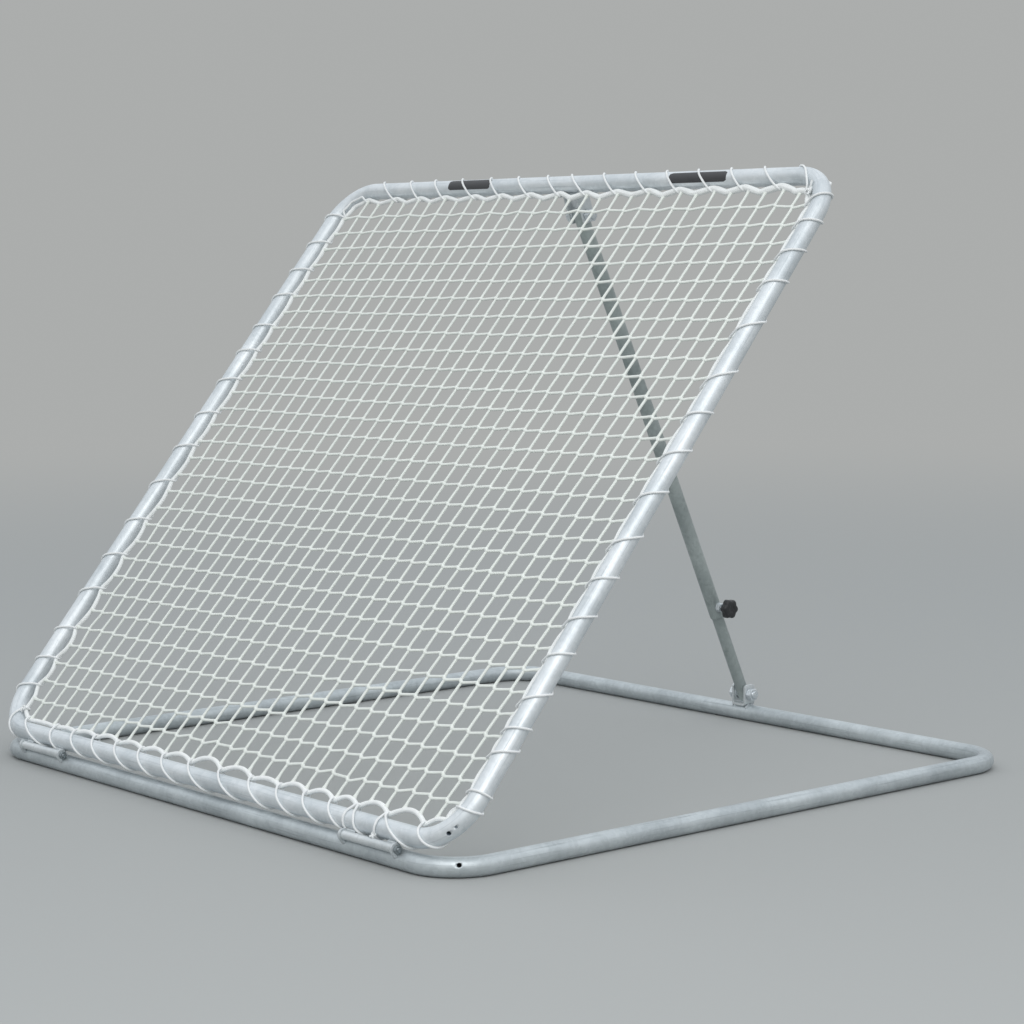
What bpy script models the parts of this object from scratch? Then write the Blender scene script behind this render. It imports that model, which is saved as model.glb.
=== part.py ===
"""Rebound net: a square tube frame laced with a square-mesh net, hinged along the front
of a flat tube base and propped from behind by a telescopic strut with a clamp knob.

Metres, +Z up, +Y to the back. The origin is at the middle of the footprint, on the ground.
"""

import math

import bmesh
import bpy
import numpy as np
from mathutils import Vector

# Frame tube, the same for both frames
FRAME_TUBE_RADIUS = 0.0175
FRAME_TUBE_WALL = 0.0015
BEND_RADIUS = 0.090
FRAME_WIDTH = 1.465
BASE_DEPTH = 1.402
NET_FRAME_HEIGHT = 1.421
VENT_RADIUS = 0.004
VENT_LIFT = math.radians(25)
BASE_VENT_TURN = math.radians(-37)
NET_VENT_TURN = math.radians(-43)
TUBE_SIDES = 16
BEND_STEPS = 5

# How the net frame stands on the base
REST_TILT = math.radians(50.3)
RAIL_RISE = 0.0425
RAIL_SETBACK = 0.0053

# Hinges between the two front rails
HINGE_INSET = 0.193
SLEEVE_LENGTH = 0.138
SLEEVE_RADIUS = 0.008
SLEEVE_TURNING_CLEARANCE = 0.0008
LACING_SLOT = 0.0052
TAB_WIDTH = 0.024
TAB_THICKNESS = 0.005
EAR_THICKNESS = 0.005
EAR_RADIUS = 0.011
EAR_SIDE_CLEARANCE = 0.0005
HINGE_BOLT_RADIUS = 0.004
HINGE_BOLT_HEAD_FLATS = 0.013
HINGE_BOLT_HEAD_HEIGHT = 0.0053
HINGE_NUT_HEIGHT = 0.0068
HINGE_BOLT_END = 0.003

# Strut
STRUT_X = 0.012
REAR_PIVOT_RISE = 0.0408
TOP_PIVOT_DROP = 0.055
TOP_PIVOT_INSET = 0.034339498
OUTER_TUBE_RADIUS = 0.015
OUTER_TUBE_WALL = 0.0015
OUTER_TUBE_REACH = 0.940
INNER_TUBE_RADIUS = 0.0125
INNER_TUBE_WALL = 0.0015
INNER_TUBE_REACH = 0.918
TUBE_END_BEYOND_BOLT = 0.013

# Strut brackets and their bolts
BRACKET_THICKNESS = 0.005
BRACKET_DEPTH = 0.030
BRACKET_BEND = 0.003
BRACKET_CORNER = 0.007
BRACKET_SADDLE_START = 0.004
REAR_BRACKET_GAP = 0.030
REAR_BRACKET_TOP_BEYOND_BOLT = 0.0205
TOP_BRACKET_GAP = 0.035
TOP_BRACKET_SADDLE_START = 0.012
TOP_BRACKET_TOP_BEYOND_BOLT = 0.015
PIVOT_BOLT_RADIUS = 0.008
PIVOT_BOLT_HEAD_FLATS = 0.024
PIVOT_BOLT_HEAD_HEIGHT = 0.010
PIVOT_NUT_HEIGHT = 0.013
PIVOT_BOLT_END = 0.004
PIVOT_WASHER_RADIUS = 0.012

# Clamp on the strut
CLAMP_ABOVE_TUBE_END = 0.023
CLAMP_NUT_FLATS = 0.017
CLAMP_NUT_HEIGHT = 0.010
CLAMP_SCREW_RADIUS = 0.005
KNOB_RADIUS = 0.0215
KNOB_WAIST = 0.018
KNOB_THICKNESS = 0.018
KNOB_HUB_RADIUS = 0.010
KNOB_HUB_LENGTH = 0.008
KNOB_STAND_OFF = 0.005
KNOB_LOBES = 6

# Net and lacing
MESH_COUNT = 14
STRAND_WIDTH = 0.005
STRAND_HALF_THICKNESS = 0.0022
BORDER_WIDTH = 0.008
BORDER_HALF_THICKNESS = 0.0036
BORDER_RAIL_GAP = 0.0008
BORDER_BOW = 0.012
LACING_POINTS = 10
LACING_MESHES_PER_TURN = 1.25
LACING_RADIUS = 0.0022
LACING_TURN_POINTS = 8

# Clearance between pieces that touch, and round bolts in their holes
SEAT_GAP = 0.0003
HOLE_CLEARANCE = 0.0005
CUTTER_OVERSHOOT = 0.010
ROUND_SIDES = 12
HEX_CROWN_SHARE = 0.95
BOLT_CHAMFER_SHARE = 0.15
NUT_CHAMFER_SHARE = 0.1
SCREW_TIP_SHARE = 0.7
KNOB_RIM_SHARE = 0.2
KNOB_SHOULDER_SHARE = 0.9
KNOB_CROWN_SHARE = 0.55

# Places worked out from the sizes above, seen from the base's front rail: (y, z)
REST_HEIGHT = FRAME_TUBE_RADIUS * math.cos(math.pi / TUBE_SIDES)


def hinge_axis_place():
    """The sleeve lies in the front crotch of the two rails, at a known distance from each."""
    to_base = FRAME_TUBE_RADIUS + SLEEVE_TURNING_CLEARANCE + SLEEVE_RADIUS
    to_net = FRAME_TUBE_RADIUS + LACING_SLOT + SLEEVE_RADIUS
    apart = math.hypot(RAIL_SETBACK, RAIL_RISE)
    along = (to_base**2 - to_net**2 + apart**2) / (2 * apart)
    forward = math.sqrt(to_base**2 - along**2)
    unit_y = RAIL_SETBACK / apart
    unit_z = RAIL_RISE / apart
    return along * unit_y - forward * unit_z, along * unit_z + forward * unit_y


HINGE_Y, HINGE_Z = hinge_axis_place()


def in_net_plane(y, z):
    """A place seen from the base's front rail, given along and square to the net frame."""
    back = y - HINGE_Y
    up = z - HINGE_Z
    along = back * math.cos(REST_TILT) + up * math.sin(REST_TILT)
    square = up * math.cos(REST_TILT) - back * math.sin(REST_TILT)
    return along, square


RAIL_ALONG, RAIL_SQUARE = in_net_plane(RAIL_SETBACK, RAIL_RISE)
HINGE_CENTRE_X = FRAME_WIDTH / 2 - HINGE_INSET

# The top pivot is placed from the net frame's top rail. Its inset makes the hinge as far
# from the strut's top pivot as from its rear pivot, so that the strut turns at both pivots
# by half of the net frame's tilt and its tubes stay in line.
TOP_PIVOT_SQUARE = RAIL_SQUARE - TOP_PIVOT_DROP
TOP_PIVOT_ALONG = RAIL_ALONG + NET_FRAME_HEIGHT - TOP_PIVOT_INSET
TOP_PIVOT_Y = HINGE_Y + TOP_PIVOT_ALONG * math.cos(REST_TILT) - TOP_PIVOT_SQUARE * math.sin(REST_TILT)
TOP_PIVOT_Z = HINGE_Z + TOP_PIVOT_ALONG * math.sin(REST_TILT) + TOP_PIVOT_SQUARE * math.cos(REST_TILT)
STRUT_LENGTH = math.hypot(TOP_PIVOT_Y - BASE_DEPTH, TOP_PIVOT_Z - REAR_PIVOT_RISE)
STRUT_LEAN = math.atan2(BASE_DEPTH - TOP_PIVOT_Y, TOP_PIVOT_Z - REAR_PIVOT_RISE)

FOOTPRINT_FRONT = min(-FRAME_TUBE_RADIUS, HINGE_Y - EAR_RADIUS)
FOOTPRINT_MIDDLE = (FOOTPRINT_FRONT + BASE_DEPTH + FRAME_TUBE_RADIUS) / 2

# Net opening: half sizes to the rails' inner edges, and the middle along the net frame
NET_HALF_WIDTH = FRAME_WIDTH / 2 - FRAME_TUBE_RADIUS - BORDER_RAIL_GAP
NET_HALF_HEIGHT = NET_FRAME_HEIGHT / 2 - FRAME_TUBE_RADIUS - BORDER_RAIL_GAP
NET_MIDDLE_ALONG = RAIL_ALONG + NET_FRAME_HEIGHT / 2


def clear_scene():
    for old in list(bpy.data.objects):
        bpy.data.objects.remove(old, do_unlink=True)


def material(name, colour, metallic, roughness):
    made = bpy.data.materials.new(name)
    made.use_nodes = True
    shader = made.node_tree.nodes["Principled BSDF"]
    shader.inputs["Base Color"].default_value = (*colour, 1.0)
    shader.inputs["Metallic"].default_value = metallic
    shader.inputs["Roughness"].default_value = roughness
    return made


def empty(name, parent, location, turn_x=0.0):
    """A joint's axis or a group's place."""
    made = bpy.data.objects.new(name, None)
    bpy.context.collection.objects.link(made)
    made.parent = parent
    made.location = location
    made.rotation_euler = (turn_x, 0.0, 0.0)
    made.empty_display_size = 0.05
    return made


def place(name, data, finish, parent, location=(0, 0, 0), rotation=(0, 0, 0)):
    made = bpy.data.objects.new(name, data)
    bpy.context.collection.objects.link(made)
    made.parent = parent
    made.location = location
    made.rotation_euler = rotation
    if finish:
        data.materials.append(finish)
    return made


def mesh_from(name, points, faces, smooth_angle=None):
    built = bmesh.new()
    corners = [built.verts.new(point) for point in points]
    for face in faces:
        built.faces.new([corners[index] for index in face])
    bmesh.ops.recalc_face_normals(built, faces=built.faces)
    data = bpy.data.meshes.new(name)
    built.to_mesh(data)
    built.free()
    if smooth_angle:
        data.shade_smooth()
        data.set_sharp_from_angle(angle=math.radians(smooth_angle))
    return data


def cut(target, cutter, operation="DIFFERENCE"):
    """A Boolean with a hidden cutter."""
    cutter.hide_render = True
    cutter.display_type = "WIRE"
    made = target.modifiers.new(cutter.name, "BOOLEAN")
    made.operation = operation
    made.solver = "EXACT"
    made.object = cutter


def seat_on_rail(target, name, rail_line, offset, low, high):
    """Cut the seat for a frame rail that runs along X through an unturned line, with a gap."""
    data = cylinder(name, FRAME_TUBE_RADIUS + SEAT_GAP, low, high)
    cut(target, place(name, data, None, rail_line, offset, (0, math.pi / 2, 0)))


def round_ring(radius, sides):
    return [
        (radius * math.cos(turn), radius * math.sin(turn))
        for turn in ((step + 0.5) * 2 * math.pi / sides for step in range(sides))
    ]


def hex_ring(flats, sides=ROUND_SIDES):
    """A hexagon with points at its corners and at the middles of its sides."""
    ring = []
    for step in range(sides):
        turn = step * 2 * math.pi / sides
        off_flat = (turn + math.pi / 6) % (math.pi / 3) - math.pi / 6
        reach = flats / 2 / math.cos(off_flat)
        ring.append((reach * math.cos(turn), reach * math.sin(turn)))
    return ring


def even_ring(radius, sides=ROUND_SIDES):
    """A round ring whose points line up with those of hex_ring."""
    return [
        (radius * math.cos(turn), radius * math.sin(turn))
        for turn in (step * 2 * math.pi / sides for step in range(sides))
    ]


def lobed_ring(outer, waist, lobes, sides):
    middle = (outer + waist) / 2
    swing = (outer - waist) / 2
    ring = []
    for step in range(sides):
        turn = step * 2 * math.pi / sides
        reach = middle + swing * math.cos(lobes * turn)
        ring.append((reach * math.cos(turn), reach * math.sin(turn)))
    return ring


def stacked(name, rings, hollow=False, smooth_angle=35):
    """A solid along local Z from rings of (height, outline). A hollow one closes on itself."""
    sides = len(rings[0][1])
    points = [(x, y, height) for height, outline in rings for x, y in outline]
    faces = []
    count = len(rings)
    for ring in range(count if hollow else count - 1):
        low = ring * sides
        high = (ring + 1) % count * sides
        for side in range(sides):
            after = (side + 1) % sides
            faces.append((low + side, low + after, high + after, high + side))
    if not hollow:
        faces.append(tuple(range(sides)))
        faces.append(tuple(range((count - 1) * sides, count * sides)))
    return mesh_from(name, points, faces, smooth_angle)


def cylinder(name, radius, low, high, sides=TUBE_SIDES):
    ring = round_ring(radius, sides)
    return stacked(name, [(low, ring), (high, ring)])


def pipe(name, radius, bore, low, high, sides=TUBE_SIDES):
    outer = round_ring(radius, sides)
    inner = round_ring(bore, sides)
    return stacked(name, [(low, outer), (high, outer), (high, inner), (low, inner)], hollow=True)


def prism(name, outline, low, high, axis="X"):
    """An outline pushed along an axis. The outline is (y, z) for X and (x, z) for Y."""
    points = []
    for reach in (low, high):
        for first, second in outline:
            points.append((reach, first, second) if axis == "X" else (first, reach, second))
    count = len(outline)
    faces = [tuple(range(count)), tuple(range(count, 2 * count))]
    for step in range(count):
        after = (step + 1) % count
        faces.append((step, after, count + after, count + step))
    return mesh_from(name, points, faces, 30)


def arc(centre, radius, start, end, steps):
    return [
        (centre[0] + radius * math.cos(turn), centre[1] + radius * math.sin(turn))
        for turn in (start + (end - start) * step / steps for step in range(steps + 1))
    ]


def loop_centres(width, depth, radius, steps):
    """Points and outward directions round a rounded rectangle whose front edge is on y = 0."""
    corners = (
        (width / 2 - radius, radius, -math.pi / 2),
        (width / 2 - radius, depth - radius, 0.0),
        (-width / 2 + radius, depth - radius, math.pi / 2),
        (-width / 2 + radius, radius, math.pi),
    )
    centres = []
    for x, y, start in corners:
        for step in range(steps + 1):
            turn = start + math.pi / 2 * step / steps
            outward = (math.cos(turn), math.sin(turn))
            centres.append((x + radius * outward[0], y + radius * outward[1], outward))
    return centres


def tube_loop(name, width, depth):
    """A closed loop of hollow tube, as one mesh with an outer and an inner skin."""
    centres = loop_centres(width, depth, BEND_RADIUS, BEND_STEPS)
    points = []
    faces = []
    for skin_radius in (FRAME_TUBE_RADIUS, FRAME_TUBE_RADIUS - FRAME_TUBE_WALL):
        first = len(points)
        for x, y, outward in centres:
            for sideways, up in round_ring(skin_radius, TUBE_SIDES):
                points.append((x + sideways * outward[0], y + sideways * outward[1], up))
        inside = skin_radius < FRAME_TUBE_RADIUS
        for ring in range(len(centres)):
            low = first + ring * TUBE_SIDES
            high = first + (ring + 1) % len(centres) * TUBE_SIDES
            for side in range(TUBE_SIDES):
                after = (side + 1) % TUBE_SIDES
                face = (low + side, high + side, high + after, low + after)
                faces.append(face[::-1] if inside else face)
    data = bpy.data.meshes.new(name)
    data.from_pydata(points, [], faces)
    data.shade_smooth()
    return data


def vent(name, parent, turn):
    """A cutter for the drain hole in the front right bend, some way up the bend's outside."""
    data = cylinder(name, VENT_RADIUS, 0.0, FRAME_TUBE_RADIUS + CUTTER_OVERSHOOT, ROUND_SIDES)
    x = FRAME_WIDTH / 2 - BEND_RADIUS + BEND_RADIUS * math.cos(turn)
    y = BEND_RADIUS + BEND_RADIUS * math.sin(turn)
    aim = (math.pi / 2 - VENT_LIFT, 0, math.pi / 2 + turn)
    return place(name, data, None, parent, (x, y, 0), aim)


def make_base_frame(parent, finish):
    frame = place("base_frame", tube_loop("base_frame", FRAME_WIDTH, BASE_DEPTH), finish, parent)
    cut(frame, vent("base_vent_cutter", parent, BASE_VENT_TURN))


def make_net_frame(hinge, finish):
    rail = empty("net_rail_line", hinge, (0, RAIL_ALONG, RAIL_SQUARE))
    frame = place("net_frame", tube_loop("net_frame", FRAME_WIDTH, NET_FRAME_HEIGHT), finish, rail)
    cut(frame, vent("net_vent_cutter", rail, NET_VENT_TURN))


def make_hinge(side, base, hinge, finish, bolt_finish):
    """Sleeve with two tabs on the net frame, two ears on the base, a bolt and its nut."""
    name = "right" if side > 0 else "left"
    middle = side * HINGE_CENTRE_X
    half = SLEEVE_LENGTH / 2
    along_x = (0, math.pi / 2, 0)
    to_rail = math.hypot(RAIL_ALONG, RAIL_SQUARE)
    rail_turn = math.atan2(RAIL_SQUARE, RAIL_ALONG)
    bore = HINGE_BOLT_RADIUS + HOLE_CLEARANCE

    sleeve_line = empty(f"hinge_sleeve_line_{name}", hinge, (middle, 0, 0), rail_turn)
    sleeve = place(
        f"hinge_sleeve_{name}",
        cylinder(f"hinge_sleeve_{name}", SLEEVE_RADIUS, -half, half),
        finish,
        sleeve_line,
        rotation=along_x,
    )
    for tab_side in (-1, 1):
        outline = [
            (0, -TAB_THICKNESS / 2),
            (to_rail, -TAB_THICKNESS / 2),
            (to_rail, TAB_THICKNESS / 2),
            (0, TAB_THICKNESS / 2),
        ]
        end = tab_side * half
        near = end - tab_side * TAB_WIDTH
        tab_data = prism(f"hinge_tab_{name}", outline, min(near, end), max(near, end))
        tab = place(f"hinge_tab_shape_{name}_{tab_side + 1}", tab_data, None, sleeve_line)
        cut(sleeve, tab, "UNION")
    rail_at = (middle, RAIL_ALONG, RAIL_SQUARE)
    reach = half + CUTTER_OVERSHOOT
    seat_on_rail(sleeve, f"hinge_rail_cutter_{name}", hinge, rail_at, -reach, reach)
    bore_data = cylinder("bore_cutter", bore, -reach, reach)
    bore_cutter = place(
        f"hinge_bore_cutter_{name}", bore_data, None, sleeve_line, rotation=along_x
    )
    cut(sleeve, bore_cutter)

    ear_reach = math.hypot(HINGE_Y, HINGE_Z)
    ear_turn = math.atan2(-HINGE_Y, HINGE_Z)
    ear_line = empty(f"hinge_ear_line_{name}", base, (middle, 0, 0), ear_turn)
    outline = [(-EAR_RADIUS, 0.0), (EAR_RADIUS, 0.0)]
    outline += arc((0.0, ear_reach), EAR_RADIUS, 0.0, math.pi, 8)
    ear_low = half + EAR_SIDE_CLEARANCE
    ear_high = ear_low + EAR_THICKNESS
    for ear_side in (-1, 1):
        which = "outer" if ear_side == side else "inner"
        low, high = sorted((ear_side * ear_low, ear_side * ear_high))
        ear_data = prism(f"hinge_ear_{name}_{which}", outline, low, high)
        ear = place(f"hinge_ear_{name}_{which}", ear_data, finish, ear_line)
        cutter_low = low - CUTTER_OVERSHOOT
        cutter_high = high + CUTTER_OVERSHOOT
        seat_name = f"ear_seat_cutter_{name}_{which}"
        seat_on_rail(ear, seat_name, base, (middle, 0, 0), cutter_low, cutter_high)
        hole_data = cylinder("ear_hole", bore, cutter_low, cutter_high)
        hole_name = f"ear_hole_cutter_{name}_{which}"
        cut(ear, place(hole_name, hole_data, None, ear_line, (0, 0, ear_reach), along_x))

    bolt_line = empty(f"hinge_bolt_line_{name}", base, (middle, HINGE_Y, HINGE_Z))
    nut_face = ear_high + SEAT_GAP
    shank_end = nut_face + HINGE_NUT_HEIGHT + HINGE_BOLT_END
    bolt_data = bolt_mesh(
        f"hinge_bolt_{name}",
        HINGE_BOLT_RADIUS,
        HINGE_BOLT_HEAD_FLATS,
        -nut_face - HINGE_BOLT_HEAD_HEIGHT,
        -nut_face,
        shank_end,
    )
    place(f"hinge_bolt_{name}", bolt_data, bolt_finish, bolt_line, rotation=along_x)
    nut_data = nut_mesh(
        f"hinge_nut_{name}",
        HINGE_BOLT_HEAD_FLATS,
        HINGE_BOLT_RADIUS + SEAT_GAP,
        nut_face,
        nut_face + HINGE_NUT_HEIGHT,
    )
    place(f"hinge_nut_{name}", nut_data, bolt_finish, bolt_line, rotation=along_x)


def bolt_mesh(name, radius, flats, head_low, head_high, end):
    """A hex-headed bolt along local Z, its head at the low end and its tip chamfered."""
    chamfer = radius * BOLT_CHAMFER_SHARE
    head = hex_ring(flats)
    shank = even_ring(radius)
    tip = even_ring(radius - chamfer)
    crown = even_ring(flats / 2 * HEX_CROWN_SHARE)
    rings = [
        (head_low, crown),
        (head_low + chamfer, head),
        (head_high, head),
        (head_high, shank),
        (end - chamfer, shank),
        (end, tip),
    ]
    return stacked(name, rings)


def nut_mesh(name, flats, bore, low, high):
    outer = hex_ring(flats)
    crown = even_ring(flats / 2 * HEX_CROWN_SHARE)
    inner = even_ring(bore)
    chamfer = (high - low) * NUT_CHAMFER_SHARE
    rings = [(low, outer), (high - chamfer, outer), (high, crown), (high, inner), (low, inner)]
    return stacked(name, rings, hollow=True)


def u_outline(gap, low, high):
    """A strip bent into a U, seen along the rail's depth: (x, z), open at the top."""
    inside = gap / 2
    outside = inside + BRACKET_THICKNESS
    outer_bend = BRACKET_BEND + BRACKET_THICKNESS
    web_top = low + BRACKET_THICKNESS
    half_turn = math.pi / 2
    points = [(outside, high)]
    points += [(inside, high)]
    points += arc((inside - BRACKET_BEND, web_top + BRACKET_BEND), BRACKET_BEND, 0.0, -half_turn, 3)
    points += arc(
        (-inside + BRACKET_BEND, web_top + BRACKET_BEND), BRACKET_BEND, -half_turn, -math.pi, 3
    )
    points += [(-inside, high), (-outside, high)]
    points += arc((-outside + outer_bend, low + outer_bend), outer_bend, math.pi, 1.5 * math.pi, 3)
    points += arc((outside - outer_bend, low + outer_bend), outer_bend, -half_turn, 0.0, 3)
    return points


def make_bracket(name, rail_line, turn, gap, pivot_height, top_beyond, saddle_start, finish):
    """A U bracket, turned about a rail that runs along X through the line's origin."""
    line = empty(f"{name}_line", rail_line, (0, 0, 0), turn)
    web_low = FRAME_TUBE_RADIUS + SEAT_GAP - BRACKET_THICKNESS / 2
    high = pivot_height + top_beyond
    outside = gap / 2 + BRACKET_THICKNESS
    depth_half = BRACKET_DEPTH / 2
    strip = prism(name, u_outline(gap, web_low, high), -depth_half, depth_half, axis="Y")
    bracket = place(name, strip, finish, line)

    low_block = [
        (-depth_half, saddle_start),
        (depth_half, saddle_start),
        (depth_half, web_low + BRACKET_THICKNESS / 2),
        (-depth_half, web_low + BRACKET_THICKNESS / 2),
    ]
    inner_half = outside - BRACKET_THICKNESS - BRACKET_BEND
    saddle_data = prism(f"{name}_saddle", low_block, -inner_half, inner_half)
    cut(bracket, place(f"{name}_saddle_shape", saddle_data, None, line), "UNION")

    corner = BRACKET_CORNER
    side_outline = [(-depth_half, saddle_start - corner), (depth_half, saddle_start - corner)]
    side_outline += arc((depth_half - corner, high - corner), corner, 0.0, math.pi / 2, 4)
    side_outline += arc((corner - depth_half, high - corner), corner, math.pi / 2, math.pi, 4)
    reach = outside + CUTTER_OVERSHOOT
    trim_data = prism(f"{name}_trim", side_outline, -reach, reach)
    cut(bracket, place(f"{name}_trim_shape", trim_data, None, line), "INTERSECT")

    seat_on_rail(bracket, f"{name}_seat_cutter", rail_line, (0, 0, 0), -reach, reach)
    hole_data = cylinder(f"{name}_hole", PIVOT_BOLT_RADIUS + HOLE_CLEARANCE, -reach, reach)
    hole_at = (0, 0, pivot_height)
    turned = (0, math.pi / 2, 0)
    cut(bracket, place(f"{name}_hole_cutter", hole_data, None, line, hole_at, turned))


def make_pivot_bolt(name, line, gap, tube_radius, finish):
    """The bolt, nut and two washers of a strut pivot, along X through the line's origin."""
    along_x = (0, math.pi / 2, 0)
    face = gap / 2 + BRACKET_THICKNESS + SEAT_GAP
    bolt_data = bolt_mesh(
        f"{name}_bolt",
        PIVOT_BOLT_RADIUS,
        PIVOT_BOLT_HEAD_FLATS,
        -face - PIVOT_BOLT_HEAD_HEIGHT,
        -face,
        face + PIVOT_NUT_HEIGHT + PIVOT_BOLT_END,
    )
    place(f"{name}_bolt", bolt_data, finish, line, rotation=along_x)
    nut_data = nut_mesh(
        f"{name}_nut",
        PIVOT_BOLT_HEAD_FLATS,
        PIVOT_BOLT_RADIUS + SEAT_GAP,
        face,
        face + PIVOT_NUT_HEIGHT,
    )
    place(f"{name}_nut", nut_data, finish, line, rotation=along_x)
    washer_low = tube_radius + SEAT_GAP
    washer_high = gap / 2 - SEAT_GAP
    for side, word in ((-1, "left"), (1, "right")):
        low, high = sorted((side * washer_low, side * washer_high))
        washer_data = pipe(
            f"{name}_washer_{word}",
            PIVOT_WASHER_RADIUS,
            PIVOT_BOLT_RADIUS + HOLE_CLEARANCE,
            low,
            high,
        )
        place(f"{name}_washer_{word}", washer_data, finish, line, rotation=along_x)


def make_strut(base, hinge, steel, bolt_finish, knob_finish):
    along_x = (0, math.pi / 2, 0)
    rear_rail = empty("rear_rail_line", base, (STRUT_X, BASE_DEPTH, 0))
    make_bracket(
        "rear_bracket",
        rear_rail,
        0.0,
        REAR_BRACKET_GAP,
        REAR_PIVOT_RISE,
        REAR_BRACKET_TOP_BEYOND_BOLT,
        BRACKET_SADDLE_START,
        steel,
    )
    rear_pivot = empty("rear_pivot", base, (STRUT_X, BASE_DEPTH, REAR_PIVOT_RISE))
    make_pivot_bolt("rear", rear_pivot, REAR_BRACKET_GAP, INNER_TUBE_RADIUS, bolt_finish)

    top_rail_along = RAIL_ALONG + NET_FRAME_HEIGHT
    reach_along = TOP_PIVOT_ALONG - top_rail_along
    reach_square = TOP_PIVOT_SQUARE - RAIL_SQUARE
    reach_turn = math.atan2(-reach_along, reach_square)
    top_rail = empty("top_rail_line", hinge, (STRUT_X, top_rail_along, RAIL_SQUARE))
    make_bracket(
        "top_bracket",
        top_rail,
        reach_turn,
        TOP_BRACKET_GAP,
        math.hypot(reach_along, reach_square),
        TOP_BRACKET_TOP_BEYOND_BOLT,
        TOP_BRACKET_SADDLE_START,
        steel,
    )
    top_pivot = empty("top_pivot", hinge, (STRUT_X, TOP_PIVOT_ALONG, TOP_PIVOT_SQUARE))
    make_pivot_bolt("top", top_pivot, TOP_BRACKET_GAP, OUTER_TUBE_RADIUS, bolt_finish)

    bolt_hole = PIVOT_BOLT_RADIUS + HOLE_CLEARANCE
    hole_reach = OUTER_TUBE_RADIUS + CUTTER_OVERSHOOT
    outer_line = empty("strut_outer_line", top_pivot, (0, 0, 0), STRUT_LEAN - REST_TILT)
    outer_bore = OUTER_TUBE_RADIUS - OUTER_TUBE_WALL
    outer_data = pipe(
        "strut_outer_tube", OUTER_TUBE_RADIUS, outer_bore, -OUTER_TUBE_REACH, TUBE_END_BEYOND_BOLT
    )
    outer = place("strut_outer_tube", outer_data, steel, outer_line)
    pivot_hole = cylinder("strut_top_hole", bolt_hole, -hole_reach, hole_reach)
    cut(outer, place("strut_top_hole_cutter", pivot_hole, None, outer_line, rotation=along_x))
    clamp_at = (0, 0, CLAMP_ABOVE_TUBE_END - OUTER_TUBE_REACH)
    screw_hole = cylinder("clamp_hole", CLAMP_SCREW_RADIUS + HOLE_CLEARANCE, 0.0, hole_reach)
    cut(outer, place("clamp_hole_cutter", screw_hole, None, outer_line, clamp_at, along_x))

    inner_line = empty("strut_inner_line", rear_pivot, (0, 0, 0), STRUT_LEAN)
    inner_bore = INNER_TUBE_RADIUS - INNER_TUBE_WALL
    inner_data = pipe(
        "strut_inner_tube", INNER_TUBE_RADIUS, inner_bore, -TUBE_END_BEYOND_BOLT, INNER_TUBE_REACH
    )
    inner = place("strut_inner_tube", inner_data, steel, inner_line)
    pivot_hole = cylinder("strut_rear_hole", bolt_hole, -hole_reach, hole_reach)
    cut(inner, place("strut_rear_hole_cutter", pivot_hole, None, inner_line, rotation=along_x))

    clamp_line = empty("clamp_line", outer_line, clamp_at)
    make_clamp(clamp_line, bolt_finish, knob_finish)


def make_clamp(line, bolt_finish, knob_finish):
    """Weld nut, clamp screw and knob, along +X from the strut's side."""
    along_x = (0, math.pi / 2, 0)
    sides = KNOB_LOBES * 4
    nut_low = OUTER_TUBE_RADIUS + SEAT_GAP
    nut_high = nut_low + CLAMP_NUT_HEIGHT
    bore = CLAMP_SCREW_RADIUS + HOLE_CLEARANCE
    nut_data = nut_mesh("clamp_nut", CLAMP_NUT_FLATS, bore, nut_low, nut_high)
    place("clamp_nut", nut_data, bolt_finish, line, rotation=along_x)

    hub_low = nut_high + KNOB_STAND_OFF
    disc_low = hub_low + KNOB_HUB_LENGTH
    disc_high = disc_low + KNOB_THICKNESS
    screw_low = INNER_TUBE_RADIUS + SEAT_GAP
    socket_end = disc_low + KNOB_THICKNESS / 2
    screw = even_ring(CLAMP_SCREW_RADIUS)
    tip = even_ring(CLAMP_SCREW_RADIUS * SCREW_TIP_SHARE)
    tip_end = screw_low + CLAMP_SCREW_RADIUS * (1 - SCREW_TIP_SHARE)
    screw_rings = [(screw_low, tip), (tip_end, screw), (socket_end, screw)]
    place("clamp_screw", stacked("clamp_screw", screw_rings), bolt_finish, line, rotation=along_x)

    rim = KNOB_THICKNESS * KNOB_RIM_SHARE
    hub = lobed_ring(KNOB_HUB_RADIUS, KNOB_HUB_RADIUS, KNOB_LOBES, sides)
    full = lobed_ring(KNOB_RADIUS, KNOB_WAIST, KNOB_LOBES, sides)
    shoulder_outer = KNOB_RADIUS * KNOB_SHOULDER_SHARE
    shoulder_waist = KNOB_WAIST * KNOB_SHOULDER_SHARE
    shoulder = lobed_ring(shoulder_outer, shoulder_waist, KNOB_LOBES, sides)
    crown_outer = KNOB_RADIUS * KNOB_CROWN_SHARE
    crown_waist = KNOB_WAIST * KNOB_CROWN_SHARE
    crown = lobed_ring(crown_outer, crown_waist, KNOB_LOBES, sides)
    socket = lobed_ring(bore, bore, KNOB_LOBES, sides)
    knob_rings = [
        (socket_end + SEAT_GAP, socket),
        (hub_low, socket),
        (hub_low, hub),
        (disc_low, hub),
        (disc_low, shoulder),
        (disc_low + rim, full),
        (disc_high - rim, full),
        (disc_high - rim / 3, shoulder),
        (disc_high, crown),
    ]
    place("clamp_knob", stacked("clamp_knob", knob_rings), knob_finish, line, rotation=along_x)


def lacing_places(half_side):
    """Where the lacing catches the border along one side, counted from the side's middle."""
    pitch = 2 * half_side / MESH_COUNT * LACING_MESHES_PER_TURN
    return [(step - (LACING_POINTS - 1) / 2) * pitch for step in range(LACING_POINTS)]


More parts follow.
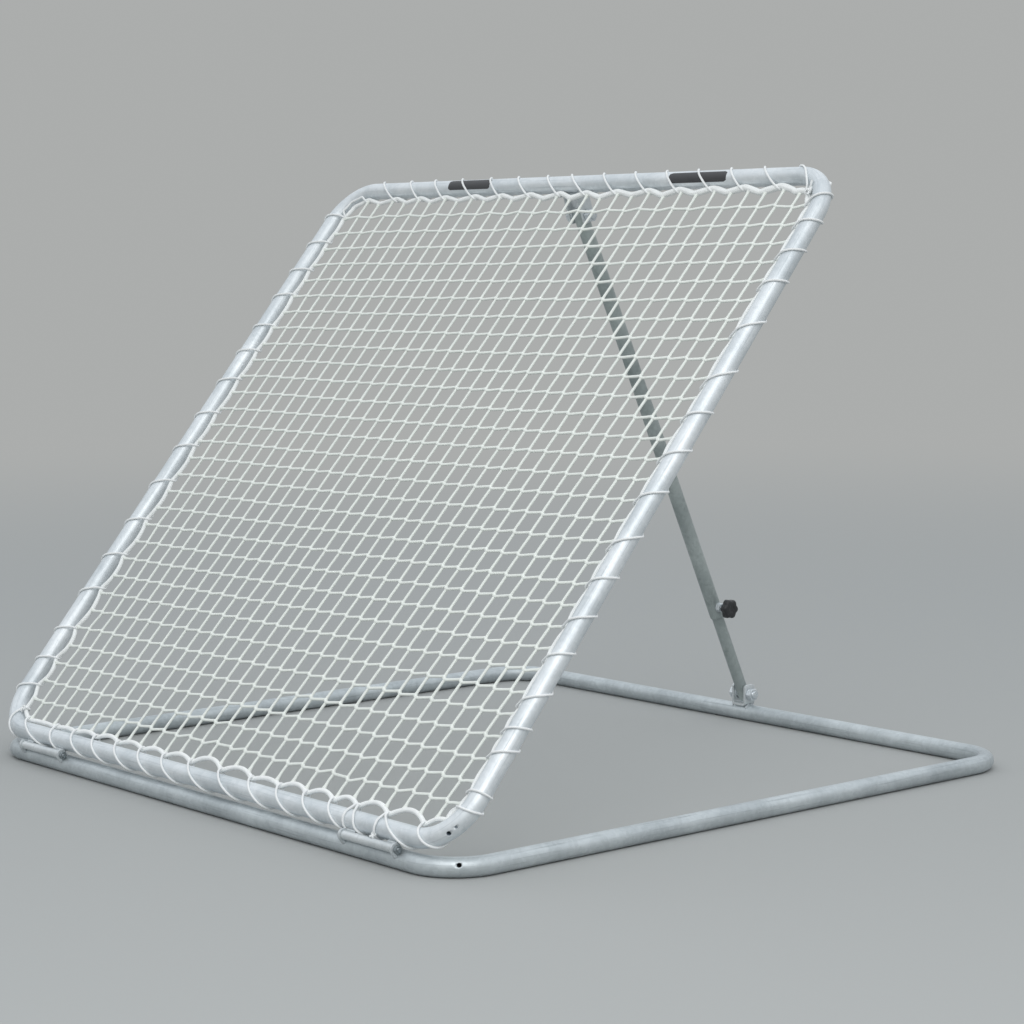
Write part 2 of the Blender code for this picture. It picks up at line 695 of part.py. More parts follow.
def border_bow(place_along, catches):
    """How far the border stands off the rail: nothing where it is laced, most in between."""
    for low, high in zip(catches, catches[1:]):
        if low <= place_along <= high:
            return BORDER_BOW * math.sin(math.pi * (place_along - low) / (high - low))
    return 0.0


def side_stations(half_side):
    """Places along one side of the net where the border has a corner."""
    pitch = 2 * half_side / MESH_COUNT
    stations = list(lacing_places(half_side))
    for line in range(1, MESH_COUNT):
        middle = line * pitch - half_side
        stations += [middle - STRAND_WIDTH / 2, middle + STRAND_WIDTH / 2]
    return sorted(stations)


def make_net(parent, finish):
    """The net as one sheet of square strands, with its border rope round the edge."""
    half = (NET_HALF_WIDTH, NET_HALF_HEIGHT)
    corner = BEND_RADIUS - FRAME_TUBE_RADIUS - BORDER_RAIL_GAP
    points = []
    thickness = []
    index_of = {}
    outer_ring = []
    inner_ring = []

    def point(key, x, y, half_thickness):
        index_of[key] = len(points)
        points.append((x, y))
        thickness.append(half_thickness)
        return index_of[key]

    for side in range(4):
        turn = side * math.pi / 2
        along = half[side % 2]
        across = half[(side + 1) % 2]
        cos, sin = math.cos(turn), math.sin(turn)
        catches = lacing_places(along)
        for number, station in enumerate(side_stations(along)):
            bow = border_bow(station, catches)
            for ring, inset, half_thickness in (
                (outer_ring, 0.0, BORDER_HALF_THICKNESS),
                (inner_ring, BORDER_WIDTH, BORDER_HALF_THICKNESS),
            ):
                x, y = station, inset + bow - across
                key = (side, number, inset > 0)
                ring.append(point(key, x * cos - y * sin, x * sin + y * cos, half_thickness))
        for step in range(4):
            swing = math.pi / 2 * (step + 0.5) / 4 - math.pi / 2
            for ring, reach in ((outer_ring, corner), (inner_ring, corner - BORDER_WIDTH)):
                x = along - corner + reach * math.cos(swing)
                y = corner - across + reach * math.sin(swing)
                key = (side, "corner", step, reach)
                turned = (x * cos - y * sin, x * sin + y * cos)
                ring.append(point(key, *turned, BORDER_HALF_THICKNESS))

    faces = []
    count = len(outer_ring)
    for step in range(count):
        after = (step + 1) % count
        faces.append((outer_ring[step], outer_ring[after], inner_ring[after], inner_ring[step]))

    edges_x = strand_edges(NET_HALF_WIDTH)
    edges_y = strand_edges(NET_HALF_HEIGHT)
    node = {}
    for i, x in enumerate(edges_x):
        for j, y in enumerate(edges_y):
            node[i, j] = point(("node", i, j), x, y, STRAND_HALF_THICKNESS)
    last = len(edges_x)
    for i in range(0, last, 2):
        for j in range(0, last - 1):
            faces.append((node[i, j], node[i + 1, j], node[i + 1, j + 1], node[i, j + 1]))
    for j in range(0, last, 2):
        for i in range(1, last - 1, 2):
            faces.append((node[i, j], node[i + 1, j], node[i + 1, j + 1], node[i, j + 1]))

    def border_pair(side, line):
        """The border's two inner points where a strand meets it, in the side's own order."""
        along = half[side % 2]
        stations = side_stations(along)
        pitch = 2 * along / MESH_COUNT
        start = stations.index((line + 1) * pitch - along - STRAND_WIDTH / 2)
        return index_of[side, start, True], index_of[side, start + 1, True]

    for line in range(MESH_COUNT - 1):
        mirrored = MESH_COUNT - 2 - line
        low, high = 2 * line, 2 * line + 1
        first, second = border_pair(0, line)
        faces.append((first, second, node[high, 0], node[low, 0]))
        first, second = border_pair(2, mirrored)
        faces.append((first, second, node[low, last - 1], node[high, last - 1]))
        first, second = border_pair(1, line)
        faces.append((first, second, node[last - 1, high], node[last - 1, low]))
        first, second = border_pair(3, mirrored)
        faces.append((first, second, node[0, low], node[0, high]))

    data = thickened("net", points, thickness, faces)
    place("net", data, finish, parent, (0, NET_MIDDLE_ALONG, RAIL_SQUARE))


def strand_edges(half_side):
    """Both edges of each strand between the borders, from one side to the other."""
    pitch = 2 * half_side / MESH_COUNT
    edges = []
    for line in range(1, MESH_COUNT):
        middle = line * pitch - half_side
        edges += [middle - STRAND_WIDTH / 2, middle + STRAND_WIDTH / 2]
    return edges


def thickened(name, points, thickness, faces):
    """A flat sheet of faces given a front, a back and walls along its open edges."""
    count = len(points)
    solid_points = [(x, y, high) for (x, y), high in zip(points, thickness)]
    solid_points += [(x, y, -high) for (x, y), high in zip(points, thickness)]
    solid_faces = []
    used = {}
    for face in faces:
        solid_faces.append(face)
        solid_faces.append(tuple(count + corner for corner in reversed(face)))
        for start, end in zip(face, face[1:] + face[:1]):
            used[start, end] = True
    for start, end in used:
        if (end, start) not in used:
            solid_faces.append((start, count + start, count + end, end))
    return mesh_from(name, solid_points, solid_faces)


def lacing_route(half_side, across):
    """The lacing of one side, wound round the rail and the net's border: (x, y, z) points.

    The side lies along x, the net is at +y and the rail's centre is on y = -across.
    """
    spread = math.pi / 8
    tube_reach = (FRAME_TUBE_RADIUS + SEAT_GAP + LACING_RADIUS) / math.cos(spread)
    border_in = FRAME_TUBE_RADIUS + BORDER_RAIL_GAP + BORDER_WIDTH
    net_reach = border_in + SEAT_GAP + LACING_RADIUS
    net_height = BORDER_HALF_THICKNESS + SEAT_GAP + LACING_RADIUS
    turn_points = [(net_reach, -net_height), (net_reach, net_height)]
    for step in range(LACING_TURN_POINTS - 2):
        turn = math.radians(67.5) + step * 2 * spread
        turn_points.append((tube_reach * math.cos(turn), tube_reach * math.sin(turn)))
    catches = lacing_places(half_side)
    pitch = catches[1] - catches[0]
    steps_between = LACING_TURN_POINTS - 1
    route = []
    for number, catch in enumerate(catches):
        last = number == len(catches) - 1
        for order, (inward, height) in enumerate(turn_points[:2] if last else turn_points):
            x = catch + max(order - 1, 0) * pitch / steps_between
            route.append(Vector((x, inward - across, height)))
    lead = Vector((0, 0, 2 * LACING_RADIUS))
    route.insert(0, route[0] - lead)
    route.append(route[-1] + lead)
    return route


def least_self_gap(route, radius):
    """The smallest gap between parts of a cord at least two points apart, surface to surface."""
    samples = []
    for number, (start, end) in enumerate(zip(route, route[1:])):
        for part in np.linspace(0.0, 1.0, 6, endpoint=False):
            samples.append((number + part, start.lerp(end, float(part))))
    order = np.array([sample[0] for sample in samples])
    places = np.array([sample[1][:] for sample in samples])
    apart = np.linalg.norm(places[:, None] - places[None], axis=2)
    far = np.abs(order[:, None] - order[None]) > 2.5
    return float(apart[far].min()) - 2 * radius


def make_lacing(parent, finish):
    """One cord for each side, which winds round the rail and catches the net's border."""
    names = ("bottom", "right", "top", "left")
    half = (NET_HALF_WIDTH, NET_HALF_HEIGHT)
    rails = (FRAME_WIDTH / 2, NET_FRAME_HEIGHT / 2)
    for side, word in enumerate(names):
        route = lacing_route(half[side % 2], rails[(side + 1) % 2])
        curve = bpy.data.curves.new(f"lacing_{word}", "CURVE")
        curve.dimensions = "3D"
        curve.bevel_depth = LACING_RADIUS
        curve.bevel_resolution = 1
        curve.use_fill_caps = True
        spline = curve.splines.new("POLY")
        spline.points.add(len(route) - 1)
        for point, at in zip(spline.points, route):
            point.co = (*at, 1.0)
        place(
            f"lacing_{word}",
            curve,
            finish,
            parent,
            (0, NET_MIDDLE_ALONG, RAIL_SQUARE),
            (0, 0, side * math.pi / 2),
        )
        gap_mm = least_self_gap(route, LACING_RADIUS) * 1000
        print(f"lacing_{word}: {len(route)} points, least gap to itself {gap_mm:.1f} mm")


def main():
    clear_scene()
    steel = material("galvanised_steel", (0.60, 0.65, 0.67), 0.85, 0.38)
    bolt_steel = material("zinc_plated_steel", (0.55, 0.60, 0.63), 0.9, 0.30)
    knob_black = material("black_plastic", (0.02, 0.02, 0.022), 0.0, 0.45)
    net_cord = material("white_net_cord", (0.86, 0.90, 0.86), 0.0, 0.75)
    lacing_cord = material("white_lacing_cord", (0.90, 0.92, 0.92), 0.0, 0.65)

    base = empty("base", None, (0, -FOOTPRINT_MIDDLE, REST_HEIGHT))
    hinge = empty("net_hinge", base, (0, HINGE_Y, HINGE_Z), REST_TILT)
    make_base_frame(base, steel)
    make_net_frame(hinge, steel)
    for side in (-1, 1):
        make_hinge(side, base, hinge, steel, bolt_steel)
    make_strut(base, hinge, steel, bolt_steel, knob_black)
    make_net(hinge, net_cord)
    make_lacing(hinge, lacing_cord)

    bpy.context.view_layer.update()
    for name in ("net_hinge", "top_pivot", "rear_pivot", "clamp_line"):
        at = bpy.data.objects[name].matrix_world.translation
        print(f"{name}: {at.x:.6f}, {at.y:.6f}, {at.z:.6f}")
    print(f"strut: {STRUT_LENGTH:.4f} m long, leaning {math.degrees(STRUT_LEAN):.2f} degrees")


main()
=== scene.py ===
from math import acos, atan2, cos, hypot, pi, radians, sin, sqrt, tau

import bmesh
import bpy
import numpy as np
from mathutils import Matrix, Vector


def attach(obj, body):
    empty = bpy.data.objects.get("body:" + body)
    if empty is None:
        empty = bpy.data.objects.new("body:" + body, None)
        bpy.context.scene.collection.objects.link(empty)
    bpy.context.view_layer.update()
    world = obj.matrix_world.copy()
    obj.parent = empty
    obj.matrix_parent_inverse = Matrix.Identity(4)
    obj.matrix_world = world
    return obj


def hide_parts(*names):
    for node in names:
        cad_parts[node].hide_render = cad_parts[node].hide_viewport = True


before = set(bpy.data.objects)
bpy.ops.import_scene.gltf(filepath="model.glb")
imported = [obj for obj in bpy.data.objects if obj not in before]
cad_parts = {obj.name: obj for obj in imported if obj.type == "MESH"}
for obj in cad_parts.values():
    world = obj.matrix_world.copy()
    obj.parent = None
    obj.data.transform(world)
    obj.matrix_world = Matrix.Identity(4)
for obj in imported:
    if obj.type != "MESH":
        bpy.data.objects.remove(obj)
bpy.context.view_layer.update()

# Frame tubes, from rail centre to rail centre
TUBE_RADIUS = 0.01735
BEND_RADIUS = 0.090
HALF_WIDTH = 0.7325
HALF_HEIGHT = 0.7105
HALF_DEPTH = 0.701

# Places in the object's own frame
HINGE_AXIS = Vector((0.0, -0.712388, 0.037823))
TILT = radians(50.3)
BASE_MIDDLE = Matrix.Translation((0.0, 0.0048875, TUBE_RADIUS))
BASE_FRONT = Vector((0.0, -0.6961125, TUBE_RADIUS))
NET_LINE = Matrix.Translation(HINGE_AXIS) @ Matrix.Rotation(TILT, 4, "X")
NET_PLANE = NET_LINE @ Matrix.Translation((0.0, 0.741086, -0.002649))
NET_BOTTOM = NET_PLANE @ Vector((0.0, -HALF_HEIGHT, 0.0))
STRUT_X = 0.012
TOP_PIVOT = Vector((STRUT_X, 0.237259, 1.091427))
REAR_PIVOT = Vector((STRUT_X, 0.705887, 0.057964))
STRUT_LEAN = radians(24.39)
ALONG_X = Matrix.Rotation(pi / 2, 4, "Y")
FLAT_UP = (0.0, 0.0, 1.0)

# Hinges
HINGE_X = 0.5395
SLEEVE_HALF = 0.069
SLEEVE_RADIUS = 0.008
SLEEVE_BORE = 0.0046
TAB_WIDTH = 0.024
TAB_START = 0.0055
TAB_SHORT_OF_RAIL = 0.014
EAR_RADIUS = 0.011
EAR_START = 0.008
EAR_GAP = 0.0005
FACE_GAP = 0.0003
PLATE = 0.005

# Weld beads: radii, and how far from a rail's surface they lie
WELD_LIFT = 0.0004
TAB_WELD = 0.0019
SLEEVE_WELD = 0.0012
EAR_WELD = 0.0017
BRACKET_WELD = 0.0021
NUT_WELD = 0.0014

# Brackets and strut
BRACKET_HALF = 0.015
BRACKET_CORNER = 0.007
BRACKET_BORE = 0.0084
BRACKET_SINK = 0.0022
BRACKET_BEND = 0.003
OUTER_RADIUS = 0.015
INNER_RADIUS = 0.0125
PIPE_WALL = 0.0015
CLAMP_DROP = 0.917

# Net
CELLS = 31
COLUMN_START = -0.6945
COLUMN_PITCH = 0.0453
ROW_START = -0.6825
ROW_PITCH = 0.04403
STRAND_RADIUS = 0.0029
STRAND_FLATNESS = 0.85
ROPE_RADIUS = 0.0044
ROPE_LAY = 0.036
CORD_RADIUS = 0.0021
rng = np.random.default_rng(31)


# ---- meshes

def unit(vectors):
    return vectors / np.linalg.norm(vectors, axis=-1, keepdims=True)


def circle(sides):
    return np.arange(sides) * tau / sides


def distances(points):
    """How far each point is along a line."""
    return np.concatenate([[0.0], np.cumsum(np.linalg.norm(np.diff(points, axis=0), axis=1))])


def resample(at, along, points):
    """Points at distances along a line, from its points at other distances."""
    return np.stack([np.interp(at, along, points[:, axis]) for axis in range(points.shape[1])], 1)


def mesh_of(name, points, faces, sharp=None):
    """A mesh. Given an angle in degrees, it is smooth but for its sharper edges."""
    mesh = bpy.data.meshes.new(name)
    mesh.from_pydata(points, [], faces)
    if sharp:
        mesh.shade_smooth()
        mesh.set_sharp_from_angle(angle=radians(sharp))
    return mesh


def tube_rings(paths, radius, sides, normal, flat=1.0, closed=False):
    """Rings of points round paths of shape (count, steps, 3)."""
    ahead = np.roll(paths, -1, 1) - np.roll(paths, 1, 1)
    if not closed:
        ahead[:, 0] = paths[:, 1] - paths[:, 0]
        ahead[:, -1] = paths[:, -1] - paths[:, -2]
    ahead = unit(ahead)
    side = unit(np.cross(ahead, np.broadcast_to(normal, paths.shape)))
    up = np.cross(side, ahead)
    turn = circle(sides)
    reach = np.asarray(radius)
    if reach.ndim < 3:
        reach = np.broadcast_to(reach, paths.shape[:2])[..., None]
    reach = reach[..., None]
    spread = np.cos(turn)[:, None] * side[:, :, None] + flat * np.sin(turn)[:, None] * up[:, :, None]
    return paths[:, :, None] + reach * spread


def tubes_mesh(name, batches, closed=False):
    """One mesh from batches of tube rings, with u along the tube in metres and v round it."""
    points, faces, uvs = [], [], []
    first = 0
    for rings in batches:
        count, steps, sides = rings.shape[:3]
        index = first + np.arange(count * steps * sides).reshape(count, steps, sides)
        first += index.size
        points.append(rings.reshape(-1, 3))
        centres = rings.mean(2)
        gaps = np.linalg.norm(np.roll(centres, -1, 1) - centres, axis=-1)
        along = np.concatenate([np.zeros((count, 1)), np.cumsum(gaps, 1)], 1)
        last = steps if closed else steps - 1
        low = index[:, :last]
        high = np.roll(index, -1, 1)[:, :last]
        quads = np.stack([low, high, np.roll(high, -1, 2), np.roll(low, -1, 2)], -1)
        faces += quads.reshape(-1, 4).tolist()
        here = np.broadcast_to(along[:, :last, None], low.shape)
        there = np.broadcast_to(along[:, 1:last + 1, None], low.shape)
        turn = np.broadcast_to(np.arange(sides) / sides, low.shape)
        after = turn + 1 / sides
        corner_uv = np.stack([here, turn, there, turn, there, after, here, after], -1)
        uvs.append(corner_uv.reshape(-1, 2))
        if not closed:
            for ring in index[:, 0].tolist() + index[:, -1][:, ::-1].tolist():
                faces.append(ring)
                uvs.append(np.zeros((sides, 2)))
    mesh = mesh_of(name, np.concatenate(points).tolist(), faces, 60)
    layer = mesh.uv_layers.new(name="UVMap")
    layer.data.foreach_set("uv", np.concatenate(uvs).ravel())
    return mesh


def turned(name, rings, sides=72, hollow=False, sharp=32):
    """A mesh along local Z from rings of (height, radius), where a radius may differ by angle."""
    turn = circle(sides)
    points = []
    for height, reach in rings:
        reach = np.broadcast_to(reach, sides)
        points.append(np.stack([reach * np.cos(turn), reach * np.sin(turn), np.full(sides, height)], 1))
    index = np.arange(len(rings) * sides).reshape(len(rings), sides)
    low, high = (index, np.roll(index, -1, 0)) if hollow else (index[:-1], index[1:])
    faces = np.stack([low, np.roll(low, -1, 1), np.roll(high, -1, 1), high], -1).reshape(-1, 4).tolist()
    if not hollow:
        faces += [index[0, ::-1].tolist(), index[-1].tolist()]
    return mesh_of(name, np.concatenate(points).tolist(), faces, sharp)


def prism(name, outline, low, high, axis="X"):
    """An outline pushed along an axis. The outline is (y, z) for X and (x, z) for Y."""
    points = []
    for reach in (low, high):
        points += [(reach, a, b) if axis == "X" else (a, reach, b) for a, b in outline]
    count = len(outline)
    faces = [tuple(range(count)), tuple(range(count, 2 * count))]
    for step in range(count):
        after = (step + 1) % count
        faces.append((step, after, count + after, count + step))
    mesh = mesh_of(name, points, faces)
    shape = bmesh.new()
    shape.from_mesh(mesh)
    bmesh.ops.recalc_face_normals(shape, faces=shape.faces)
    shape.to_mesh(mesh)
    shape.free()
    return mesh


def arc(centre, radius, start, end, steps=16):
    turns = np.linspace(start, end, steps + 1)
    return [(centre[0] + radius * cos(t), centre[1] + radius * sin(t)) for t in turns]


def put(name, data):
    """A new object in the scene."""
    made = bpy.data.objects.new(name, data)
    bpy.context.scene.collection.objects.link(made)
    return made


def add(name, mesh, finish, place=Matrix.Identity(4)):
    """A piece with its material, at its place."""
    made = put(name, mesh)
    made.matrix_world = place
    if finish:
        mesh.materials.append(finish)
    return made


def settle(piece):
    """Replace a piece's mesh by what its modifiers make of it."""
    bpy.context.view_layer.update()
    graph = bpy.context.evaluated_depsgraph_get()
    old = piece.data
    piece.data = bpy.data.meshes.new_from_object(piece.evaluated_get(graph))
    piece.modifiers.clear()
    bpy.data.meshes.remove(old)


def carve(piece, cutters, operation="DIFFERENCE"):
    for cutter in cutters:
        made = piece.modifiers.new("carve", "BOOLEAN")
        made.operation = operation
        made.solver = "EXACT"
        made.material_mode = "TRANSFER"
        made.object = cutter
    settle(piece)
    for cutter in cutters:
        bpy.data.objects.remove(cutter, do_unlink=True)


def soften(piece, width=0.0005):
    """Round a piece's sharp edges."""
    made = piece.modifiers.new("edges", "BEVEL")
    made.width = width
    made.segments = 2
    made.limit_method = "ANGLE"
    made.angle_limit = radians(35)
    settle(piece)
    piece.data.shade_smooth()
    piece.data.set_sharp_from_angle(angle=radians(40))


def own(piece, body, slot, *nodes):
    """The piece rides on a body and stands for CAD nodes. Its slot is not used."""
    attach(piece, body)
    if nodes:
        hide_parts(*nodes)


# ---- materials

def feed(tree, made, inputs):
    """Set a node's inputs to values, to colours or to the outputs of other nodes."""
    for key, value in inputs.items():
        if hasattr(value, "links"):
            tree.links.new(value, made.inputs[key])
        else:
            made.inputs[key].default_value = (*value, 1.0) if isinstance(value, tuple) else value
    return made


def node(tree, kind, inputs=None, **settings):
    made = tree.nodes.new(kind)
    for key, value in settings.items():
        setattr(made, key, value)
    return feed(tree, made, inputs or {})


def start_material(name, metallic, roughness):
    made = bpy.data.materials.new(name)
    made.use_nodes = True
    tree = made.node_tree
    shader = tree.nodes["Principled BSDF"]
    feed(tree, shader, {"Metallic": metallic, "Roughness": roughness})
    return made, tree, shader


def noise(tree, coords, scale, detail=3.0, roughness=0.55, distortion=0.0):
    inputs = {"Vector": coords, "Scale": scale, "Detail": detail}
    inputs |= {"Roughness": roughness, "Distortion": distortion}
    return node(tree, "ShaderNodeTexNoise", inputs).outputs["Fac"]


def remap(tree, value, from_low, from_high, to_low=0.0, to_high=1.0, **settings):
    inputs = {"Value": value, "From Min": from_low, "From Max": from_high}
    inputs |= {"To Min": to_low, "To Max": to_high}
    return node(tree, "ShaderNodeMapRange", inputs, **settings).outputs["Result"]


def mix(tree, fac, low, high):
    """Mix two colours."""
    return node(tree, "ShaderNodeMix", {0: fac, 6: low, 7: high}, data_type="RGBA").outputs[2]


def combine(tree, operation, first, second=0.0, third=0.0):
    return node(tree, "ShaderNodeMath", {0: first, 1: second, 2: third}, operation=operation).outputs[0]


def bump(tree, shader, height, strength, distance):
    made = node(tree, "ShaderNodeBump", {"Strength": strength, "Distance": distance, "Height": height})
    feed(tree, shader, {"Normal": made.outputs["Normal"]})


def galvanised(name, dark, light, roughness, grain=1.0, drawn=False):
    """Dipped zinc on steel: soft clouds, small crystals, thin runs, and lines along drawn tubes."""
    made, tree, shader = start_material(name, 0.60, roughness)
    coords = node(tree, "ShaderNodeTexCoord").outputs
    place = coords["Object"]
    clouds = remap(tree, noise(tree, place, 7.0, 4.0), 0.3, 0.7, 0.05, 0.80)
    crystals = node(tree, "ShaderNodeTexVoronoi", {"Scale": 150.0 * grain, "Vector": place})
    flakes = node(tree, "ShaderNodeSeparateColor", {"Color": crystals.outputs["Color"]}).outputs["Red"]
    amount = combine(tree, "MULTIPLY_ADD", flakes, 0.20, clouds)
    if drawn:
        split = node(tree, "ShaderNodeSeparateXYZ", {"Vector": coords["UV"]}).outputs
        turn = combine(tree, "MULTIPLY", split["Y"], tau)
        along = combine(tree, "MULTIPLY", split["X"], 4.0)
        round_x = combine(tree, "MULTIPLY", combine(tree, "COSINE", turn), 2.6)
        round_y = combine(tree, "MULTIPLY", combine(tree, "SINE", turn), 2.6)
        line = node(tree, "ShaderNodeCombineXYZ", {"X": along, "Y": round_x, "Z": round_y}).outputs[0]
        runs = noise(tree, line, 1.6, 6.0, 0.72, 0.3)
    else:
        runs = noise(tree, place, 45.0, 5.0, 0.7, 1.2)
    tone = mix(tree, amount, dark, light)
    spots = remap(tree, runs, 0.54, 0.70, 0.0, 0.55 if drawn else 0.35)
    colour = mix(tree, spots, tone, tuple(0.74 * part for part in dark))
    fine = noise(tree, place, 320.0 * grain)
    dull = remap(tree, runs, 0.3, 0.7, roughness - 0.10, roughness + 0.08)
    rough = combine(tree, "MULTIPLY_ADD", fine, 0.14, dull)
    feed(tree, shader, {"Base Color": colour, "Roughness": rough})
    bump(tree, shader, combine(tree, "ADD", fine, runs), 0.30, 0.0004)
    return made


def cord(name, colour, shade, per_metre, round_count, depth):
    """White polyester cord: two crossing sets of yarns with painted shade in the grooves between them, soft
    soiling and loose fibres.
    """
    made, tree, shader = start_material(name, 0.0, 0.86)
    coords = node(tree, "ShaderNodeTexCoord").outputs
    split = node(tree, "ShaderNodeSeparateXYZ", {"Vector": coords["UV"]}).outputs
    waves = []
    for way in (1.0, -1.0):
        run = combine(tree, "MULTIPLY", split["X"], per_metre * tau)
        turn = combine(tree, "MULTIPLY", split["Y"], way * round_count * tau)
        waves.append(combine(tree, "SINE", combine(tree, "ADD", run, turn)))
    lift = remap(tree, combine(tree, "MAXIMUM", *waves), -1.0, 1.0)
    fibres = noise(tree, coords["Object"], 1400.0, 2.0)
    soil = noise(tree, coords["Object"], 16.0, 4.0)
    # Painted shade: the low parts of the weave take the darker colour
    tone = mix(tree, lift, shade, colour)
    soiled = remap(tree, soil, 0.45, 0.75, 0.0, 0.35)
    worn = mix(tree, soiled, tone, tuple(0.80 * part for part in colour))
    speck = mix(tree, remap(tree, fibres, 0.35, 0.65, 0.0, 0.14), worn, shade)
    feed(tree, shader, {"Base Color": speck, "Specular IOR Level": 0.3})
    feed(tree, shader, {"Sheen Weight": 0.25, "Sheen Roughness": 0.5})
    bump(tree, shader, combine(tree, "MULTIPLY_ADD", fibres, 0.6, lift), 0.75, depth)
    return made


def plastic(name, colour, tint, roughness, scale=1040.0):
    """Moulded plastic: a fine sparked texture with rubbed places."""
    made, tree, shader = start_material(name, 0.0, roughness)
    coords = node(tree, "ShaderNodeTexCoord").outputs["Object"]
    patches = noise(tree, coords, 38.0)
    rough = remap(tree, patches, 0.3, 0.7, roughness - 0.08, roughness + 0.1)
    feed(tree, shader, {"Base Color": mix(tree, patches, colour, tint), "Roughness": rough})
    bump(tree, shader, noise(tree, coords, scale, 2.0), 0.25, 0.0003)
    return made


NET_TUBE = galvanised("galvanised_net_tube", (0.55, 0.60, 0.63), (0.86, 0.89, 0.91), 0.47, 1.0, True)
# Painted shade: the base frame's zinc is darker than the net frame's same zinc
BASE_TUBE_SHADED = galvanised("galvanised_base_tube_painted_shade", (0.37, 0.41, 0.43), (0.68, 0.73, 0.75), 0.42, 1.0, True)
# Painted shade: the strut's tubes are darker zinc than the frames
STRUT_STEEL_SHADED = galvanised("galvanised_pipe_painted_shade", (0.26, 0.30, 0.30), (0.50, 0.55, 0.54), 0.42)
STEEL_PLATE = galvanised("galvanised_plate", (0.52, 0.56, 0.58), (0.80, 0.83, 0.84), 0.40, 1.4)
WELD = galvanised("galvanised_weld", (0.34, 0.37, 0.39), (0.62, 0.66, 0.68), 0.50, 2.5)
ZINC = galvanised("zinc_bolt", (0.52, 0.56, 0.60), (0.82, 0.86, 0.88), 0.26, 3.0)
# Painted shade: the drain hole's walls are near-black, where only shade falls inside the tube
DRAIN_HOLE_SHADE = plastic("drain_hole_painted_shade", (0.010, 0.011, 0.013), (0.02, 0.02, 0.022), 0.8)
# Painted shade: dark blue-grey on the walls of the deep and the shallow dent in the net frame's bend
DEEP_DENT_SHADE = plastic("deep_dent_painted_shade", (0.12, 0.15, 0.18), (0.17, 0.21, 0.25), 0.6)
SHALLOW_DENT_SHADE = plastic("shallow_dent_painted_shade", (0.19, 0.23, 0.26), (0.26, 0.30, 0.33), 0.6)
# Painted shade: the hinge bolts and nuts are darker zinc than the other bolts
HINGE_ZINC_SHADED = galvanised("hinge_bolt_painted_shade", (0.13, 0.15, 0.16), (0.34, 0.38, 0.40), 0.34, 3.0)
# The second colour of each cord is painted shade for the grooves between its yarns
NET_CORD = cord("net_cord", (0.90, 0.93, 0.89), (0.70, 0.74, 0.69), 300.0, 2.0, 0.0005)
ROPE_CORD = cord("border_rope", (0.95, 0.965, 0.96), (0.80, 0.83, 0.82), 240.0, 4.0, 0.0006)
LACING_CORD = cord("lacing_cord", (0.94, 0.95, 0.95), (0.74, 0.77, 0.78), 330.0, 3.0, 0.0005)
KNOB_BLACK = plastic("knob_plastic", (0.012, 0.012, 0.014), (0.030, 0.031, 0.034), 0.40)
COLLAR_BLUE = plastic("collar_plastic", (0.022, 0.045, 0.075), (0.035, 0.065, 0.100), 0.38)
LABEL_DARK = plastic("plain_label", (0.030, 0.031, 0.034), (0.060, 0.062, 0.066), 0.46, 480.0)


# ---- frames

def frame_loop(name, half_y, place, body, node_name, finish, holes):
    """A closed loop of bent tube with holes in its front right bend, their walls painted with shade."""
    line = []
    for right, back, start in ((1, -1, -90), (1, 1, 0), (-1, 1, 90), (-1, -1, 180)):
        centre = np.array((right * (HALF_WIDTH - BEND_RADIUS), back * (half_y - BEND_RADIUS), 0.0))
        for turn in np.radians(np.linspace(start, start + 90, 25)):
            line.append(centre + BEND_RADIUS * np.array((cos(turn), sin(turn), 0.0)))
    rings = tube_rings(np.array(line)[None], TUBE_RADIUS, 56, FLAT_UP, closed=True)
    piece = add(name, tubes_mesh(name, [rings], closed=True), finish, place)
    drills = []
    for angle, lift, radius, depth, inside in holes:
        turn = radians(angle)
        x = HALF_WIDTH - BEND_RADIUS + BEND_RADIUS * cos(turn)
        y = -half_y + BEND_RADIUS + BEND_RADIUS * sin(turn)
        aim = Matrix.Rotation(turn + pi / 2, 4, "Z")
        aim = aim @ Matrix.Rotation(pi / 2 - radians(lift), 4, "X")
        drill = turned("drill", [(TUBE_RADIUS - depth, radius), (0.03, radius)], 40)
        drills.append(add("drill", drill, inside, place @ Matrix.Translation((x, y, 0.0)) @ aim))
    carve(piece, drills)
    own(piece, body, "frame_tube", node_name)


# Each hole: degrees round the bend, degrees up from its plane, radius, depth, inside: the painted shade on
# its walls
DRAIN = (-37, 25, 0.004, 0.013, DRAIN_HOLE_SHADE)
DENTS = ((-43, 25, 0.004, 0.013, DEEP_DENT_SHADE), (-34, 30, 0.0026, 0.0015, SHALLOW_DENT_SHADE))
frame_loop("base_tube", HALF_DEPTH, BASE_MIDDLE, "base", "base_frame", BASE_TUBE_SHADED, [DRAIN])
frame_loop("net_frame_tube", HALF_HEIGHT, NET_PLANE, "net_frame", "net_frame", NET_TUBE, DENTS)


BEAD_STEP = 0.0006
BEAD_RIPPLE = 0.0026


def bead(name, path, radius, body, normal=(1.0, 0.0, 0.0)):
    """A weld bead with its small ripples."""
    path = np.array(path, float)
    along = distances(path)
    steps = max(int(along[-1] / BEAD_STEP), 12)
    at = np.linspace(0.0, along[-1], steps)
    fine = resample(at, along, path)
    ripple = 1 + 0.10 * np.sin(at / BEAD_RIPPLE * tau) + 0.05 * rng.standard_normal(steps)
    ends = np.clip(np.minimum(at, at[-1] - at) / radius, 0.25, 1.0) ** 0.5
    rings = tube_rings(fine[None], (radius * ripple * ends)[None], 12, normal)
    own(add(name, tubes_mesh(name, [rings]), WELD), body, "frame_tube")


